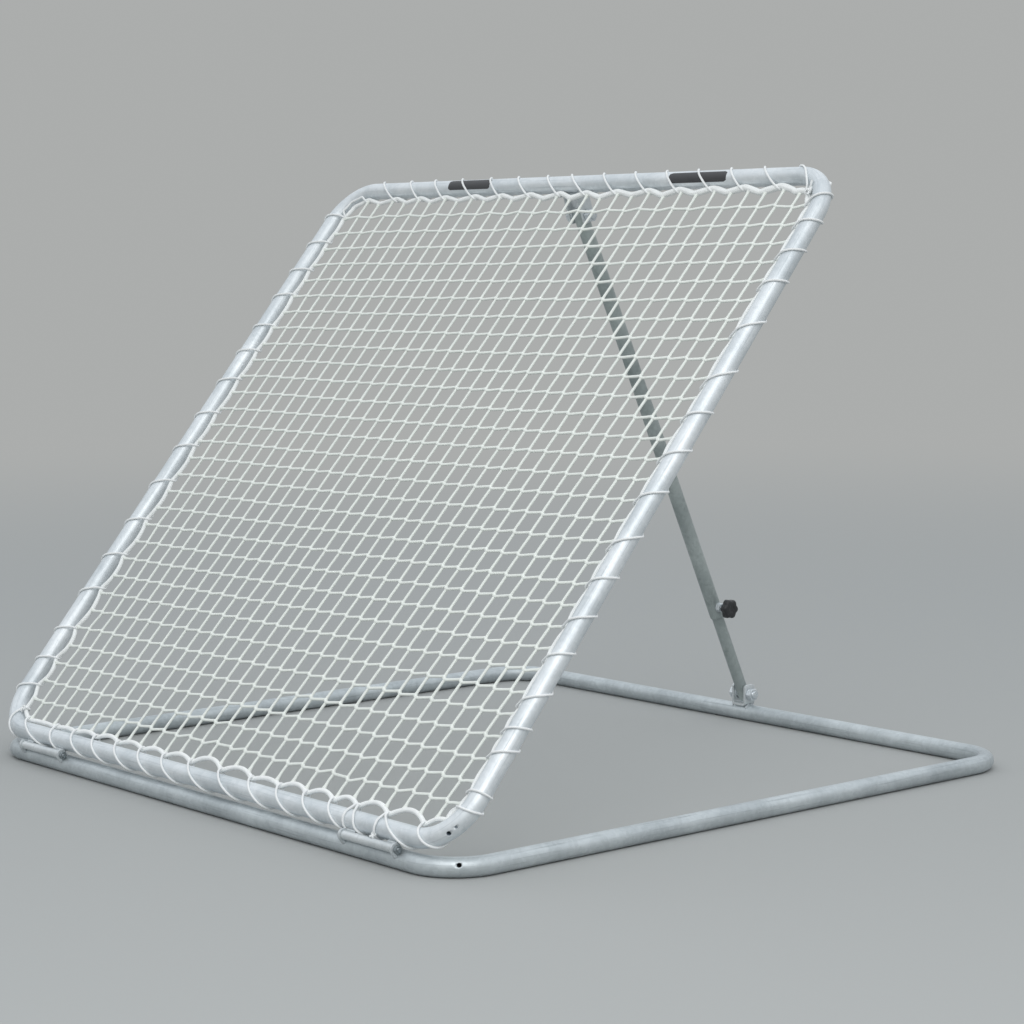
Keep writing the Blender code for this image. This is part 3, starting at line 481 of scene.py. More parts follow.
def rail_arc(x, centre, middle, half_turn, radius, steps=24):
    """Points round a rail that runs along X."""
    return [
        (x, centre[1] + radius * cos(t), centre[2] + radius * sin(t))
        for t in np.linspace(middle - half_turn, middle + half_turn, steps)
    ]


# ---- bolts and nuts

# Radius, width across flats, head, thread past the far face, pitch, height of nut
M8 = (0.004, 0.013, 0.0053, 0.0098, 0.00125, 0.0068)
M16 = (0.008, 0.024, 0.010, 0.017, 0.002, 0.013)


def hex_rings(flats, low, high, low_crown=True, high_crown=True):
    """A hexagon whose corners are turned down at its crowned ends."""
    off = (circle(72) + pi / 6) % (pi / 3) - pi / 6
    shape = flats / 2 / np.cos(off)
    start = flats / 2 * 0.95
    corner = flats / sqrt(3)
    depth = (corner - start) * 0.55
    rings = []
    for crowned, end, way in ((low_crown, low, 1), (high_crown, high, -1)):
        crown = []
        for t in (0.0, 0.3, 0.6, 1.0):
            crown.append((end + way * depth * t, np.minimum(shape, start + (corner - start) * t)))
        rings += crown[::way] if crowned else [(end, shape)]
    return rings


def thread_rings(radius, low, high, pitch, sides=72):
    """A screw thread's rings, which run out at the tip."""
    turn = np.arange(sides) / sides
    rings = []
    for height in np.linspace(low, high, max(int((high - low) / pitch * 10), 12)):
        phase = (height / pitch - turn) % 1.0
        depth = 0.5 * pitch * np.abs(2 * phase - 1)
        tip = max(0.0, height - (high - 0.6 * pitch)) * 0.7
        rings.append((height, radius - depth - tip))
    return rings


def turned_steel(cad_node, rings, place, body, slot="bolt", finish=ZINC, hollow=True, name=None):
    """A turned piece that stands for one CAD node."""
    name = name or f"{cad_node}_steel"
    own(add(name, turned(name, rings, hollow=hollow), finish, place), body, slot, cad_node)


def bolt_and_nut(bolt_node, nut_node, place, size, face, body, finish=ZINC):
    """A hex bolt along X, with its head on the left face and its nut on the right face."""
    radius, flats, head, past, pitch, height = size
    place = place @ ALONG_X
    rings = hex_rings(flats, -face - head, -face, True, False)
    rings += [(-face, radius), (face, radius)]
    rings += thread_rings(radius, face, face + past, pitch)
    turned_steel(bolt_node, rings, place, body, finish=finish, hollow=False)
    high = face + height
    mouth = radius + 0.0005
    rings = hex_rings(flats, face, high)
    rings += [(high, mouth), (high - 0.0008, radius), (face + 0.0008, radius), (face, mouth)]
    turned_steel(nut_node, rings, place, body, finish=finish)


def hollow_rings(radius, bore, low, high, edge):
    """A tube's rings, with its outer edges broken."""
    rings = [(low, radius - edge), (low + edge, radius), (high - edge, radius), (high, radius - edge)]
    return rings + [(high, bore), (low, bore)]


# ---- hinges

def hinge(side):
    """Sleeve and tabs on the net frame, ears, bolt and nut on the base's front rail."""
    word = "right" if side > 0 else "left"
    middle = side * HINGE_X
    axis = Matrix.Translation((middle, HINGE_AXIS.y, HINGE_AXIS.z))
    to_net = NET_BOTTOM - HINGE_AXIS
    reach = hypot(to_net.y, to_net.z)
    rings = hollow_rings(SLEEVE_RADIUS, SLEEVE_BORE, -SLEEVE_HALF, SLEEVE_HALF, 0.0006)
    cad_node, name = f"hinge_sleeve_{word}", f"hinge_sleeve_tube_{word}"
    turned_steel(cad_node, rings, axis @ ALONG_X, "net_frame", "frame_tube", STEEL_PLATE, name=name)
    tab_place = axis @ Matrix.Rotation(atan2(to_net.z, to_net.y), 4, "X")
    half, far = PLATE / 2, reach - TAB_SHORT_OF_RAIL
    outline = [(TAB_START, -half), (far, -half), (far, half), (TAB_START, half)]
    at_rail, at_sleeve = reach - TUBE_RADIUS + WELD_LIFT, SLEEVE_RADIUS - 0.0006
    welds = (("tab", at_rail, TAB_WELD), ("sleeve", at_sleeve, SLEEVE_WELD))
    for number, tab_side in enumerate((-1, 1)):
        low, high = sorted((tab_side * SLEEVE_HALF, tab_side * (SLEEVE_HALF - TAB_WIDTH)))
        tab = add(f"hinge_tab_{word}_{number}", prism("tab", outline, low, high), STEEL_PLATE, tab_place)
        soften(tab, 0.0006)
        own(tab, "net_frame", "frame_tube")
        for edge_side in (-1, 1):
            for kind, out, size in welds:
                ends = [Vector((x, out, edge_side * half)) for x in (low + 0.001, high - 0.001)]
                start, end = (tab.matrix_world @ point for point in ends)
                path = [start.lerp(end, t) for t in np.linspace(0, 1, 12)]
                name = f"{kind}_weld_{word}_{number}_{edge_side + 1}"
                bead(name, path, size, "net_frame", (0.0, 1.0, 0.3))

    to_axis = HINGE_AXIS - BASE_FRONT
    ear_turn = atan2(-to_axis.y, to_axis.z)
    ear_place = Matrix.Translation((middle, BASE_FRONT.y, BASE_FRONT.z)) @ Matrix.Rotation(ear_turn, 4, "X")
    outline = [(-EAR_RADIUS, EAR_START), (EAR_RADIUS, EAR_START)]
    outline += arc((0.0, hypot(to_axis.y, to_axis.z)), EAR_RADIUS, 0.0, pi, 28)
    near = SLEEVE_HALF + EAR_GAP
    up, surface = ear_turn + pi / 2, TUBE_RADIUS + WELD_LIFT
    for ear_side in (-1, 1):
        which = "outer" if ear_side == side else "inner"
        low, high = sorted((ear_side * near, ear_side * (near + PLATE)))
        plate = prism("ear", outline, low, high)
        ear = add(f"hinge_ear_plate_{word}_{which}", plate, STEEL_PLATE, ear_place)
        soften(ear)
        own(ear, "base", "frame_tube", f"hinge_ear_{word}_{which}")
        for face in (low, high):
            path = rail_arc(middle + face, BASE_FRONT, up, 0.62, surface)
            bead(f"ear_weld_{word}_{which}_{face > 0.0}_{face == high}", path, EAR_WELD, "base")
    face = near + PLATE + FACE_GAP
    bolt_and_nut(f"hinge_bolt_{word}", f"hinge_nut_{word}", axis, M8, face, "base", HINGE_ZINC_SHADED)


hinge(-1)
hinge(1)


# ---- strut

def u_outline(gap, low, high):
    """The outline of a plate bent to a U, as (x, z)."""
    inside, outside, bend = gap / 2, gap / 2 + PLATE, BRACKET_BEND
    outer_bend = bend + PLATE
    web = low + PLATE
    quarter = pi / 2
    points = [(outside, high), (inside, high)]
    points += arc((inside - bend, web + bend), bend, 0.0, -quarter, 8)
    points += arc((-inside + bend, web + bend), bend, -quarter, -pi, 8)
    points += [(-inside, high), (-outside, high)]
    points += arc((-outside + outer_bend, low + outer_bend), outer_bend, pi, 1.5 * pi, 8)
    points += arc((outside - outer_bend, low + outer_bend), outer_bend, -quarter, 0.0, 8)
    return points


def bracket(name, place, gap, pivot_height, top_beyond, body, cad_node):
    """A bent U plate on a rail, with rounded ears and a hole for the pivot bolt."""
    half, corner = BRACKET_HALF, BRACKET_CORNER
    high = pivot_height + top_beyond
    strip = prism("strip", u_outline(gap, TUBE_RADIUS - BRACKET_SINK, high), -half, half, "Y")
    piece = add(name, strip, STEEL_PLATE, place)
    outline = [(-half, 0.0), (half, 0.0)]
    outline += arc((half - corner, high - corner), corner, 0.0, pi / 2, 10)
    outline += arc((corner - half, high - corner), corner, pi / 2, pi, 10)
    reach = gap / 2 + PLATE + 0.01
    carve(piece, [add("trim", prism("trim", outline, -reach, reach), None, place)], "INTERSECT")
    hole = turned("hole", [(-reach, BRACKET_BORE), (reach, BRACKET_BORE)], 48)
    carve(piece, [add("hole", hole, None, place @ Matrix.Translation((0, 0, pivot_height)) @ ALONG_X)])
    soften(piece, 0.0006)
    own(piece, body, "frame_tube", cad_node)
    for end in (-1, 1):
        for side in (-1, 1):
            x = side * (gap / 2 + PLATE)
            turn = pi / 2 + end * 0.5
            arc_line = rail_arc(x, (0.0, 0.0, 0.0), turn, 0.45, TUBE_RADIUS * 1.02, 16)
            points = [place @ Vector(point) for point in arc_line]
            bead(f"{name}_weld_{end + 1}_{side + 1}", points, BRACKET_WELD, body)


def pivot(word, place, gap, tube_radius, body):
    """A bolt along X through a bracket and the strut's end, with its nut and two washers."""
    face = gap / 2 + PLATE + FACE_GAP
    bolt_and_nut(f"{word}_bolt", f"{word}_nut", place, M16, face, body)
    for side, side_word in ((-1, "left"), (1, "right")):
        low, high = sorted((side * (tube_radius + FACE_GAP), side * (gap / 2 - FACE_GAP)))
        rings = hollow_rings(0.012, 0.0085, low, high, 0.0003)
        turned_steel(f"{word}_washer_{side_word}", rings, place @ ALONG_X, body)


def pipe(word, pivot_place, radius, low, high):
    """One of the strut's two tubes, along Z from its pivot, in zinc darkened as painted shade."""
    place = Matrix.Translation(pivot_place) @ Matrix.Rotation(STRUT_LEAN, 4, "X")
    rings = hollow_rings(radius, radius - PIPE_WALL, low, high, 0.0005)
    body = f"strut_{word}"
    turned_steel(f"{body}_tube", rings, place, body, "frame_tube", STRUT_STEEL_SHADED, name=f"{body}_steel")
    return place


REAR_GAP = 0.030
REAR_RAIL = Matrix.Translation((STRUT_X, 0.7058875, 0.0171644))
bracket("rear_bracket_plate", REAR_RAIL, REAR_GAP, 0.0408, 0.0205, "base", "rear_bracket")
pivot("rear", Matrix.Translation(REAR_PIVOT), REAR_GAP, INNER_RADIUS, "base")

TOP_GAP = 0.035
pivot_local = NET_PLANE.inverted() @ TOP_PIVOT
reach_y = pivot_local.y - HALF_HEIGHT
reach_z = pivot_local.z
TOP_RAIL = NET_PLANE @ Matrix.Translation((STRUT_X, HALF_HEIGHT, 0.0))
TOP_RAIL = TOP_RAIL @ Matrix.Rotation(atan2(-reach_y, reach_z), 4, "X")
top_height = hypot(reach_y, reach_z)
bracket("top_bracket_plate", TOP_RAIL, TOP_GAP, top_height, 0.015, "net_frame", "top_bracket")
pivot("top", Matrix.Translation(TOP_PIVOT), TOP_GAP, OUTER_RADIUS, "net_frame")

PAST_PIVOT = 0.013
OUTER_LINE = pipe("outer", TOP_PIVOT, OUTER_RADIUS, -0.940, PAST_PIVOT)
pipe("inner", REAR_PIVOT, INNER_RADIUS, -PAST_PIVOT, 0.918)

# Clamp, outwards from the strut's middle line
CLAMP_NUT = (0.0148, 0.0253)
CLAMP_SCREW = (0.0145, 0.0445)
KNOB = (0.0383, 0.0563)
KNOB_RADIUS = 0.0178
KNOB_LOBE = 0.0036


def clamp():
    """Weld nut, screw and lobed knob on the strut's right side."""
    place = OUTER_LINE @ Matrix.Translation((0.0, 0.0, -CLAMP_DROP)) @ ALONG_X
    low, high = CLAMP_NUT
    rings = hex_rings(0.017, low, high, False, True)
    rings += [(high, 0.0056), (high - 0.0008, 0.0051), (low, 0.0051)]
    turned_steel("clamp_nut", rings, place, "strut_outer")
    ring = [
        place @ Vector((0.0088 * cos(t), 0.0088 * sin(t), 0.0155))
        for t in np.linspace(0.0, tau, 60)
    ]
    bead("clamp_nut_weld", ring, NUT_WELD, "strut_outer", place.col[2].xyz)
    rings = [(0.0128, 0.0032), (0.0143, 0.0046)] + thread_rings(0.005, *CLAMP_SCREW, 0.0015)
    turned_steel("clamp_screw", rings, place, "clamp_screw", hollow=False)

    sides = 144
    lobes = 0.5 + 0.5 * np.cos(6 * circle(sides))
    full = KNOB_RADIUS + KNOB_LOBE * lobes ** 0.7
    start, end = KNOB
    rings = [(start + 0.0002, 0.0098)]
    for t in np.linspace(0.0, 1.0, 9):
        rings.append((start + 0.0002 + 0.0036 * t, full * (0.62 + 0.38 * sin(t * pi / 2) ** 0.7)))
    rings += [(start + 0.0070, full), (start + 0.0110, full)]
    for t in np.linspace(0.0, 1.0, 9):
        shrink = 1 - 0.30 * (1 - cos(t * pi / 2))
        rings.append((start + 0.0110 + 0.0058 * sin(t * pi / 2), full * shrink))
    dish = ((0.0008, 0.55), (0.0010, 0.42), (0.0016, 0.36), (0.0016, 0.1))
    rings += [(end - drop, full * part) for drop, part in dish]
    knob = add("clamp_knob_head", turned("clamp_knob", rings, sides, sharp=50), KNOB_BLACK, place)
    own(knob, "clamp_knob", "knob", "clamp_knob")
    rings = [(0.0303, 0.0052), (0.0303, 0.0088), (0.0309, 0.0097), (0.0325, 0.0100)]
    rings += [(0.0372, 0.0100), (0.0384, 0.0104), (0.0386, 0.0110), (0.0386, 0.0052)]
    collar = add("clamp_knob_collar", turned("collar", rings, hollow=True), COLLAR_BLUE, place)
    own(collar, "clamp_knob", "knob")


clamp()


# ---- border rope

# The loop line counted from the middle of the bottom left bend, anticlockwise
SIDES = ("bottom", "right", "top", "left")
HALF_BEND = BEND_RADIUS * pi / 4
REACHES = [half - BEND_RADIUS + HALF_BEND for half in (HALF_WIDTH, HALF_HEIGHT) * 2]


def rail_frame(side, s):
    """Centre and inward direction of the net frame's rail, s from the middle of the side."""
    along = (HALF_WIDTH, HALF_HEIGHT)[side % 2] - BEND_RADIUS
    across = (HALF_HEIGHT, HALF_WIDTH)[side % 2] - BEND_RADIUS
    s = np.asarray(s, float)
    past = np.abs(s) - along
    turn = np.sign(s) * np.clip(past, 0.0, None) / BEND_RADIUS
    run = np.clip(s, -along, along)
    centre = np.stack([run + BEND_RADIUS * np.sin(turn), -across - BEND_RADIUS * np.cos(turn)], -1)
    inward = np.stack([-np.sin(turn), np.cos(turn)], -1)
    angle = side * pi / 2
    spin = np.array([[cos(angle), -sin(angle)], [sin(angle), cos(angle)]])
    return centre @ spin.T, inward @ spin.T


# Where the lacing holds the rope, s from the middle of each side. It is laced by hand, unevenly
BOTTOM = (-0.659, -0.542, -0.469, -0.393, -0.311, -0.225, -0.145, -0.057)
BOTTOM += (0.043, 0.142, 0.231, 0.311, 0.390, 0.459, 0.545, 0.644)
RIGHT = (-0.655, -0.615, -0.547, -0.500, -0.447, -0.357, -0.287, -0.204, -0.130)
RIGHT += (-0.030, 0.057, 0.146, 0.219, 0.331, 0.439, 0.508, 0.581, 0.639)
TOP = (-0.709, -0.607, -0.513, -0.430, -0.338, -0.254, -0.161, -0.070)
TOP += (0.008, 0.101, 0.193, 0.280, 0.380, 0.465, 0.549, 0.655)
LEFT = (-0.645, -0.565, -0.487, -0.418, -0.331, -0.263, -0.185, -0.094)
LEFT += (-0.006, 0.087, 0.188, 0.279, 0.366, 0.467, 0.542, 0.608)
LACED = zip(REACHES, (BOTTOM, RIGHT, TOP, LEFT))
CATCHES = [np.array((-reach, *inner, reach)) for reach, inner in LACED]
# Distance of the rope from the rail's centre: where it is laced, half way between, and at the bends
ROPE_LOW = (0.0228, 0.0240, 0.0228, 0.0295)
ROPE_HIGH = (0.0420, 0.0300, 0.0365, 0.0470)
CORNER_LOW = (0.0224, 0.0224, 0.0232, 0.0250)
# How full each arch of the rope along the bottom is, from the left
BOTTOM_RISE = (0.1, 0.15, 0.25, 0.42, 0.6, 0.55, 0.55, 0.64, 1.0)
BOTTOM_RISE += (0.82, 0.5, 0.69, 0.75, 0.75, 0.93, 1.05, 0.6)
# How thick the rope is along its loop, by share of its length
THICK_AT = (0.0, 0.24, 0.28, 0.47, 0.51, 0.62, 0.72, 1.0)
THICK = (0.98, 1.0, 0.86, 0.86, 1.50, 1.25, 1.02, 0.98)


def rope_inset(side, s):
    """Distance from the rail's centre to the rope's, along one side."""
    catches = CATCHES[side]
    s = np.asarray(s, float)
    slot = np.clip(np.searchsorted(catches, s) - 1, 0, len(catches) - 2)
    share = np.clip((s - catches[slot]) / (catches[slot + 1] - catches[slot]), 0.0, 1.0)
    low = np.full(len(catches), ROPE_LOW[side])
    low[0] = CORNER_LOW[side]
    low[-1] = CORNER_LOW[(side + 1) % 4]
    rise = np.full(len(catches) - 1, ROPE_HIGH[side] - ROPE_LOW[side])
    wobble = np.random.default_rng(side + 5).uniform(0.82, 1.12, len(rise))
    if side == 0:
        wobble = np.array(BOTTOM_RISE)
    if side == 2:
        wobble[[0, -1]] = 0.3
    if side == 3:
        wobble *= np.interp(catches[1:], (-0.6, -0.2, 0.15, 0.4), (0.3, 0.45, 0.7, 1.0))
    rise = rise * wobble
    if side == 2:
        wave = (1 - np.abs(2 * share - 1)) ** 1.1
    else:
        wave = np.sin(pi * share) ** (0.8, 1.0, 1.0, 0.9)[side]
    straight = low[slot] * (1 - share) + low[slot + 1] * share
    return straight + rise[slot] * wave


def rope_line():
    """The rope's centre in the net's plane, side by side, as a closed line."""
    parts = []
    for side in range(4):
        s = np.linspace(-REACHES[side], REACHES[side], 600, endpoint=False)
        centre, inward = rail_frame(side, s)
        parts.append(centre + inward * rope_inset(side, s)[:, None])
    return parts


ROPE_PARTS = rope_line()


def even_line(points, step):
    """Resample a closed flat line at even steps, after rounding its sharpest corners."""
    kernel = np.hanning(9)
    kernel /= kernel.sum()
    wrapped = np.concatenate([points[-4:], points, points[:4]])
    smooth = np.stack([np.convolve(wrapped[:, axis], kernel, "valid") for axis in range(2)], 1)
    closed = np.concatenate([smooth, smooth[:1]])
    along = distances(closed)
    count = int(along[-1] / step)
    at = np.arange(count) * along[-1] / count
    return resample(at, along, closed), at, along[-1]


def make_rope():
    """The laid border rope, thicker where it is pulled together."""
    flat, at, length = even_line(np.concatenate(ROPE_PARTS), 0.0026)
    line = np.concatenate([flat, np.zeros((len(flat), 1))], 1)
    sides = 24
    lays = round(length / ROPE_LAY)
    spin = 3 * (circle(sides) - tau * lays / 3 * at[:, None] / length)
    swell = 1.0 + 0.06 * np.sin(tau * 97 * at / length) * np.sin(tau * 31 * at / length)
    swell *= np.interp(at / length, THICK_AT, THICK)
    reach = ROPE_RADIUS * swell[:, None] * (1.0 + 0.055 * (np.abs(np.sin(spin / 2)) - 0.6))
    rings = tube_rings(line[None], reach[None], sides, FLAT_UP, closed=True)
    mesh = tubes_mesh("net_border_rope", [rings], closed=True)
    own(add("net_border_rope", mesh, ROPE_CORD, NET_PLANE), "net_frame", "net_cord", "net")


make_rope()


# ---- net

def rope_at(side, values):
    """The rope's place where a column (sides 0, 2) or a row (sides 1, 3) reaches it."""
    part = ROPE_PARTS[side]
    axis = side % 2
    order = np.argsort(part[:, axis])
    return np.interp(values, part[order, axis], part[order, 1 - axis])


def net_nodes():
    """The crossings of the net, (columns, rows, 2), with the border at both ends."""
    columns = COLUMN_START + COLUMN_PITCH * np.arange(CELLS + 1)
    rows = ROW_START + ROW_PITCH * np.arange(CELLS + 1)
    x, y = np.meshgrid(columns, rows, indexing="ij")
    x = x + rng.uniform(-0.0007, 0.0007, x.shape)
    y = y + rng.uniform(-0.0007, 0.0007, y.shape)
    x += 0.0012 * np.sin(3.1 * y / 0.7 + 0.6) * np.sin(pi * (x / 1.5 + 0.5))
    y += 0.0014 * np.sin(2.7 * x / 0.7 - 0.4) * np.sin(pi * (y / 1.5 + 0.5))
    inner = slice(1, CELLS)
    low = rope_at(0, x[inner, 0])
    high = rope_at(2, x[inner, -1])
    left_y = y[0, inner] - 0.0065 * np.linspace(0.1, 1.0, CELLS - 1)
    left = rope_at(3, left_y)
    right = rope_at(1, y[-1, inner] + 0.003)
    for depth, share in ((1, 0.40), (2, 0.16), (3, 0.06)):
        y[inner, depth] += share * (low - low.mean())
        y[inner, CELLS - depth] += share * (high - high.mean())
        x[depth, inner] += share * (left - left.mean())
        y[depth, inner] -= share * 0.006 * np.linspace(0.1, 1.0, CELLS - 1)
    y[inner, 0] = low
    y[inner, -1] = high
    x[0, inner] = left
    y[0, inner] = left_y
    x[-1, inner] = right
    y[-1, inner] += 0.003
    return x, y


def saw_wave(samples, pitch):
    """From -1 just after a crossing to +1 just before the next, with rounded turns."""
    fine = np.linspace(-0.5, 1.5, 2001)
    edge = 0.0030 / pitch
    local = fine % 1.0
    wave = np.interp(local, (0.0, edge, 1 - edge, 1.0), (0.0, -1.0, 1.0, 0.0))
    width = 0.0012 / pitch
    kernel = np.exp(-0.5 * (np.arange(-120, 121) * 0.001 / width) ** 2)
    smooth = np.convolve(wave, kernel / kernel.sum(), "same")
    return np.interp(samples, fine, smooth)


def threads(x, y, pitch, lift):
    """Paths of the threads along the first axis of x and y: path, saw wave, height, thickness."""
    offsets = np.array((-0.0052, -0.0034, -0.0022, -0.0011, 0.0, 0.0011, 0.0022, 0.0034, 0.0052))
    share = offsets / pitch
    inside = np.array((0.26, 0.42, 0.58, 0.74))
    samples = [np.array((0.0, 0.03, 0.07, 0.12)), inside]
    for crossing in range(1, CELLS):
        samples += [crossing + share, crossing + inside]
    samples += [np.array((CELLS - 0.12, CELLS - 0.07, CELLS - 0.03, CELLS))]
    samples = np.concatenate(samples)
    slot = np.clip(samples.astype(int), 0, CELLS - 1)
    part = samples - slot

    def catmull(values):
        padded = np.concatenate([2 * values[:1] - values[1:2], values, 2 * values[-1:] - values[-2:-1]])
        a, b, c, d = (padded[slot + shift] for shift in range(4))
        t = part[:, None]
        square, cube = 2 * a - 5 * b + 4 * c - d, 3 * b - a - 3 * c + d
        return 0.5 * (2 * b + (c - a) * t + square * t**2 + cube * t**3)

    path = np.stack([catmull(x), catmull(y)], -1)
    inner = (samples >= 0.5) & (samples <= CELLS - 0.5)
    wave = saw_wave(samples % 1.0, pitch) * inner
    near = np.abs(samples - np.round(samples)) * pitch
    crossing = np.exp(-((near / 0.0042) ** 2)) * inner
    to_rope = np.minimum(samples, CELLS - samples) * pitch
    swell = 1.0 + 0.14 * crossing + 0.75 * np.exp(-((to_rope / 0.009) ** 2))
    return path, wave[:, None], lift * crossing, swell


SAG = 0.006


def sag(path):
    """How far the net hangs out of its plane."""
    x, y = (np.clip(path[..., axis] / reach, -1, 1) * pi / 2 for axis, reach in ((0, 0.72), (1, 0.70)))
    return -SAG * np.cos(x) * np.cos(y)


# Threads across, then up: which axis the saw moves, its height, and how that grows with x and y
SAWS = ((1, 0.0021, 0.0005, -0.0009), (0, 0.0018, 0.0006, -0.0007))
THREAD_LIFT = 0.0009


def make_net():
    """The net's two sets of threads, over and under at their crossings."""
    x, y = net_nodes()
    ways = ((x, y, COLUMN_PITCH, THREAD_LIFT), (x.T, y.T, ROW_PITCH, -THREAD_LIFT))
    rings = []
    for (nodes_x, nodes_y, pitch, side), (axis, height, by_x, by_y) in zip(ways, SAWS):
        path, wave, lift, swell = threads(nodes_x[:, 1:CELLS], nodes_y[:, 1:CELLS], pitch, side)
        path[..., axis] += wave * (height + by_x * path[..., 0] / 0.7 + by_y * path[..., 1] / 0.7)
        flat = path.transpose(1, 0, 2)
        line = np.concatenate([flat, (lift[None] + sag(flat))[..., None]], -1)
        radius = STRAND_RADIUS * swell[None] * np.ones(line.shape[:2])
        rings.append(tube_rings(line, radius, 8, FLAT_UP, STRAND_FLATNESS))
    piece = add("net_strands", tubes_mesh("net_strands", rings), NET_CORD, NET_PLANE)
    own(piece, "net_frame", "net_cord", "net")


make_net()


# ---- lacing

RAIL_REACH = TUBE_RADIUS + 0.0002 + CORD_RADIUS
ROPE_BELT = ROPE_RADIUS * 1.12 + 0.0003 + CORD_RADIUS
# How far a turn has gone along the rail, by its share of the way round rope, front, outside and back
ROUND = (0.0, 0.12, 0.30, 0.42, 0.50, 0.58, 0.68, 0.93, 1.0)
ALONG = (
    (0.0, 0.08, 0.42, 0.68, 0.82, 0.92, 0.97, 1.0, 1.0),
    (0.0, 0.05, 0.16, 0.28, 0.38, 0.46, 0.54, 0.95, 1.0),
    (0.0, 0.22, 0.48, 0.63, 0.74, 0.83, 0.92, 1.0, 1.0),
    (0.0, 0.05, 0.20, 0.30, 0.38, 0.46, 0.58, 0.94, 1.0),
)
# Turns that go another way, by side and number: by the hinges' tabs, at the bends, by the top bracket
SPECIAL = {
    (0, 2): (0.0, 0.08, 0.32, 0.48, 0.57, 0.63, 0.80, 1.0, 1.0),
    (0, 14): (0.0, 0.02, 0.04, 0.06, 0.07, 0.09, 0.20, 0.95, 1.0),
    (0, 16): (0.0, 0.10, 0.30, 0.44, 0.55, 0.64, 0.74, 1.0, 1.0),
    (1, 2): (0.0, 0.00, 0.02, 0.04, 0.06, 0.08, 0.13, 0.93, 1.0),
    (1, 3): (0.0, 0.02, 0.16, 0.34, 0.48, 0.60, 0.75, 0.97, 1.0),
    (2, 1): (0.0, 0.08, 0.42, 0.70, 0.82, 0.90, 0.95, 1.0, 1.0),
    (2, 8): (0.0, 0.25, 0.60, 0.82, 1.00, 1.08, 1.09, 1.08, 1.0),
}
# At three bends the cord lies in the groove between rope and rail: share of the way round
PLAIN = {(1, 0): (0.0, 0.0, 0.0), (2, 0): (0.0, 0.10, 0.0)}
PLAIN |= {(2, 16): (0.0, 0.13, 0.13), (3, 0): (0.13, 0.13, 0.0)}


def belt(inset, share):
    """A closed belt round the rail and the rope, at a share of its length: places and normals."""
    lean = acos(min((RAIL_REACH - ROPE_BELT) / inset, 0.98))
    tangent = sqrt(max(inset**2 - (RAIL_REACH - ROPE_BELT) ** 2, 1e-8))
    on_rope, round_rail = ROPE_BELT * lean, RAIL_REACH * (tau - 2 * lean)
    edges = np.concatenate([[0.0], np.cumsum((on_rope, tangent, round_rail, tangent, on_rope))])
    at = share * edges[-1]
    angle = np.interp(at, edges, (0.0, lean, lean, tau - lean, tau - lean, tau))
    on_rail = np.interp(at, edges, (0.0, 0.0, 1.0, 1.0, 0.0, 0.0))
    centre = inset * (1 - on_rail)
    reach = ROPE_BELT * (1 - on_rail) + RAIL_REACH * on_rail
    place = np.stack([centre + reach * np.cos(angle), reach * np.sin(angle)], -1)
    return place, np.stack([np.cos(angle), np.sin(angle)], -1)


def turn_of_cord(side, s, share, inset):
    """Place and normal of the cord at one share of a turn."""
    place, normal = belt(inset, share)
    centre, inward = rail_frame(side, s)
    points = np.concatenate([centre + inward * place[:, :1], place[:, 1:]], 1)
    return points, np.concatenate([inward * normal[:, :1], normal[:, 1:]], 1)


def belts(side, s, shares, insets):
    """Places and normals of the cord at many places along a side."""
    made = [turn_of_cord(side, s[k:k + 1], shares[k:k + 1], insets[k]) for k in range(len(s))]
    return [np.concatenate([pair[part] for pair in made]) for part in (0, 1)]


def lacing_path(side):
    """The lacing cord of one side, turn by turn, with its normals."""
    catches = CATCHES[side]
    low = rope_inset(side, catches)
    steps = 44
    share = np.arange(steps) / steps
    parts = []
    for turn in range(len(catches) - 1):
        start, end = catches[turn], catches[turn + 1]
        insets = low[turn] * (1 - share) + low[turn + 1] * share
        if (side, turn) in PLAIN:
            s = start + share * (end - start)
            around = np.interp(share, (0.0, 0.3, 0.7, 1.0), np.repeat(PLAIN[side, turn], (1, 2, 1)))
            insets = rope_inset(side, s)
        else:
            s = start + np.interp(share, ROUND, SPECIAL.get((side, turn), ALONG[side])) * (end - start)
            around = share
        parts.append(belts(side, s, around, insets))
    places, normals = (np.concatenate([part[k] for part in parts]) for k in (0, 1))
    kernel = np.array((1.0, 2.0, 1.0)) / 4
    for axis in range(3):
        places[1:-1, axis] = np.convolve(places[:, axis], kernel, "valid")
    return places, unit(normals)


def lace(name, path, radius, sides, normals, *cad_node):
    """A piece of lacing cord along a path in the net's own frame."""
    rings = tube_rings(path[None], radius, sides, normals)
    own(add(name, tubes_mesh(name, [rings]), LACING_CORD, NET_PLANE), "net_frame", "lacing_cord", *cad_node)


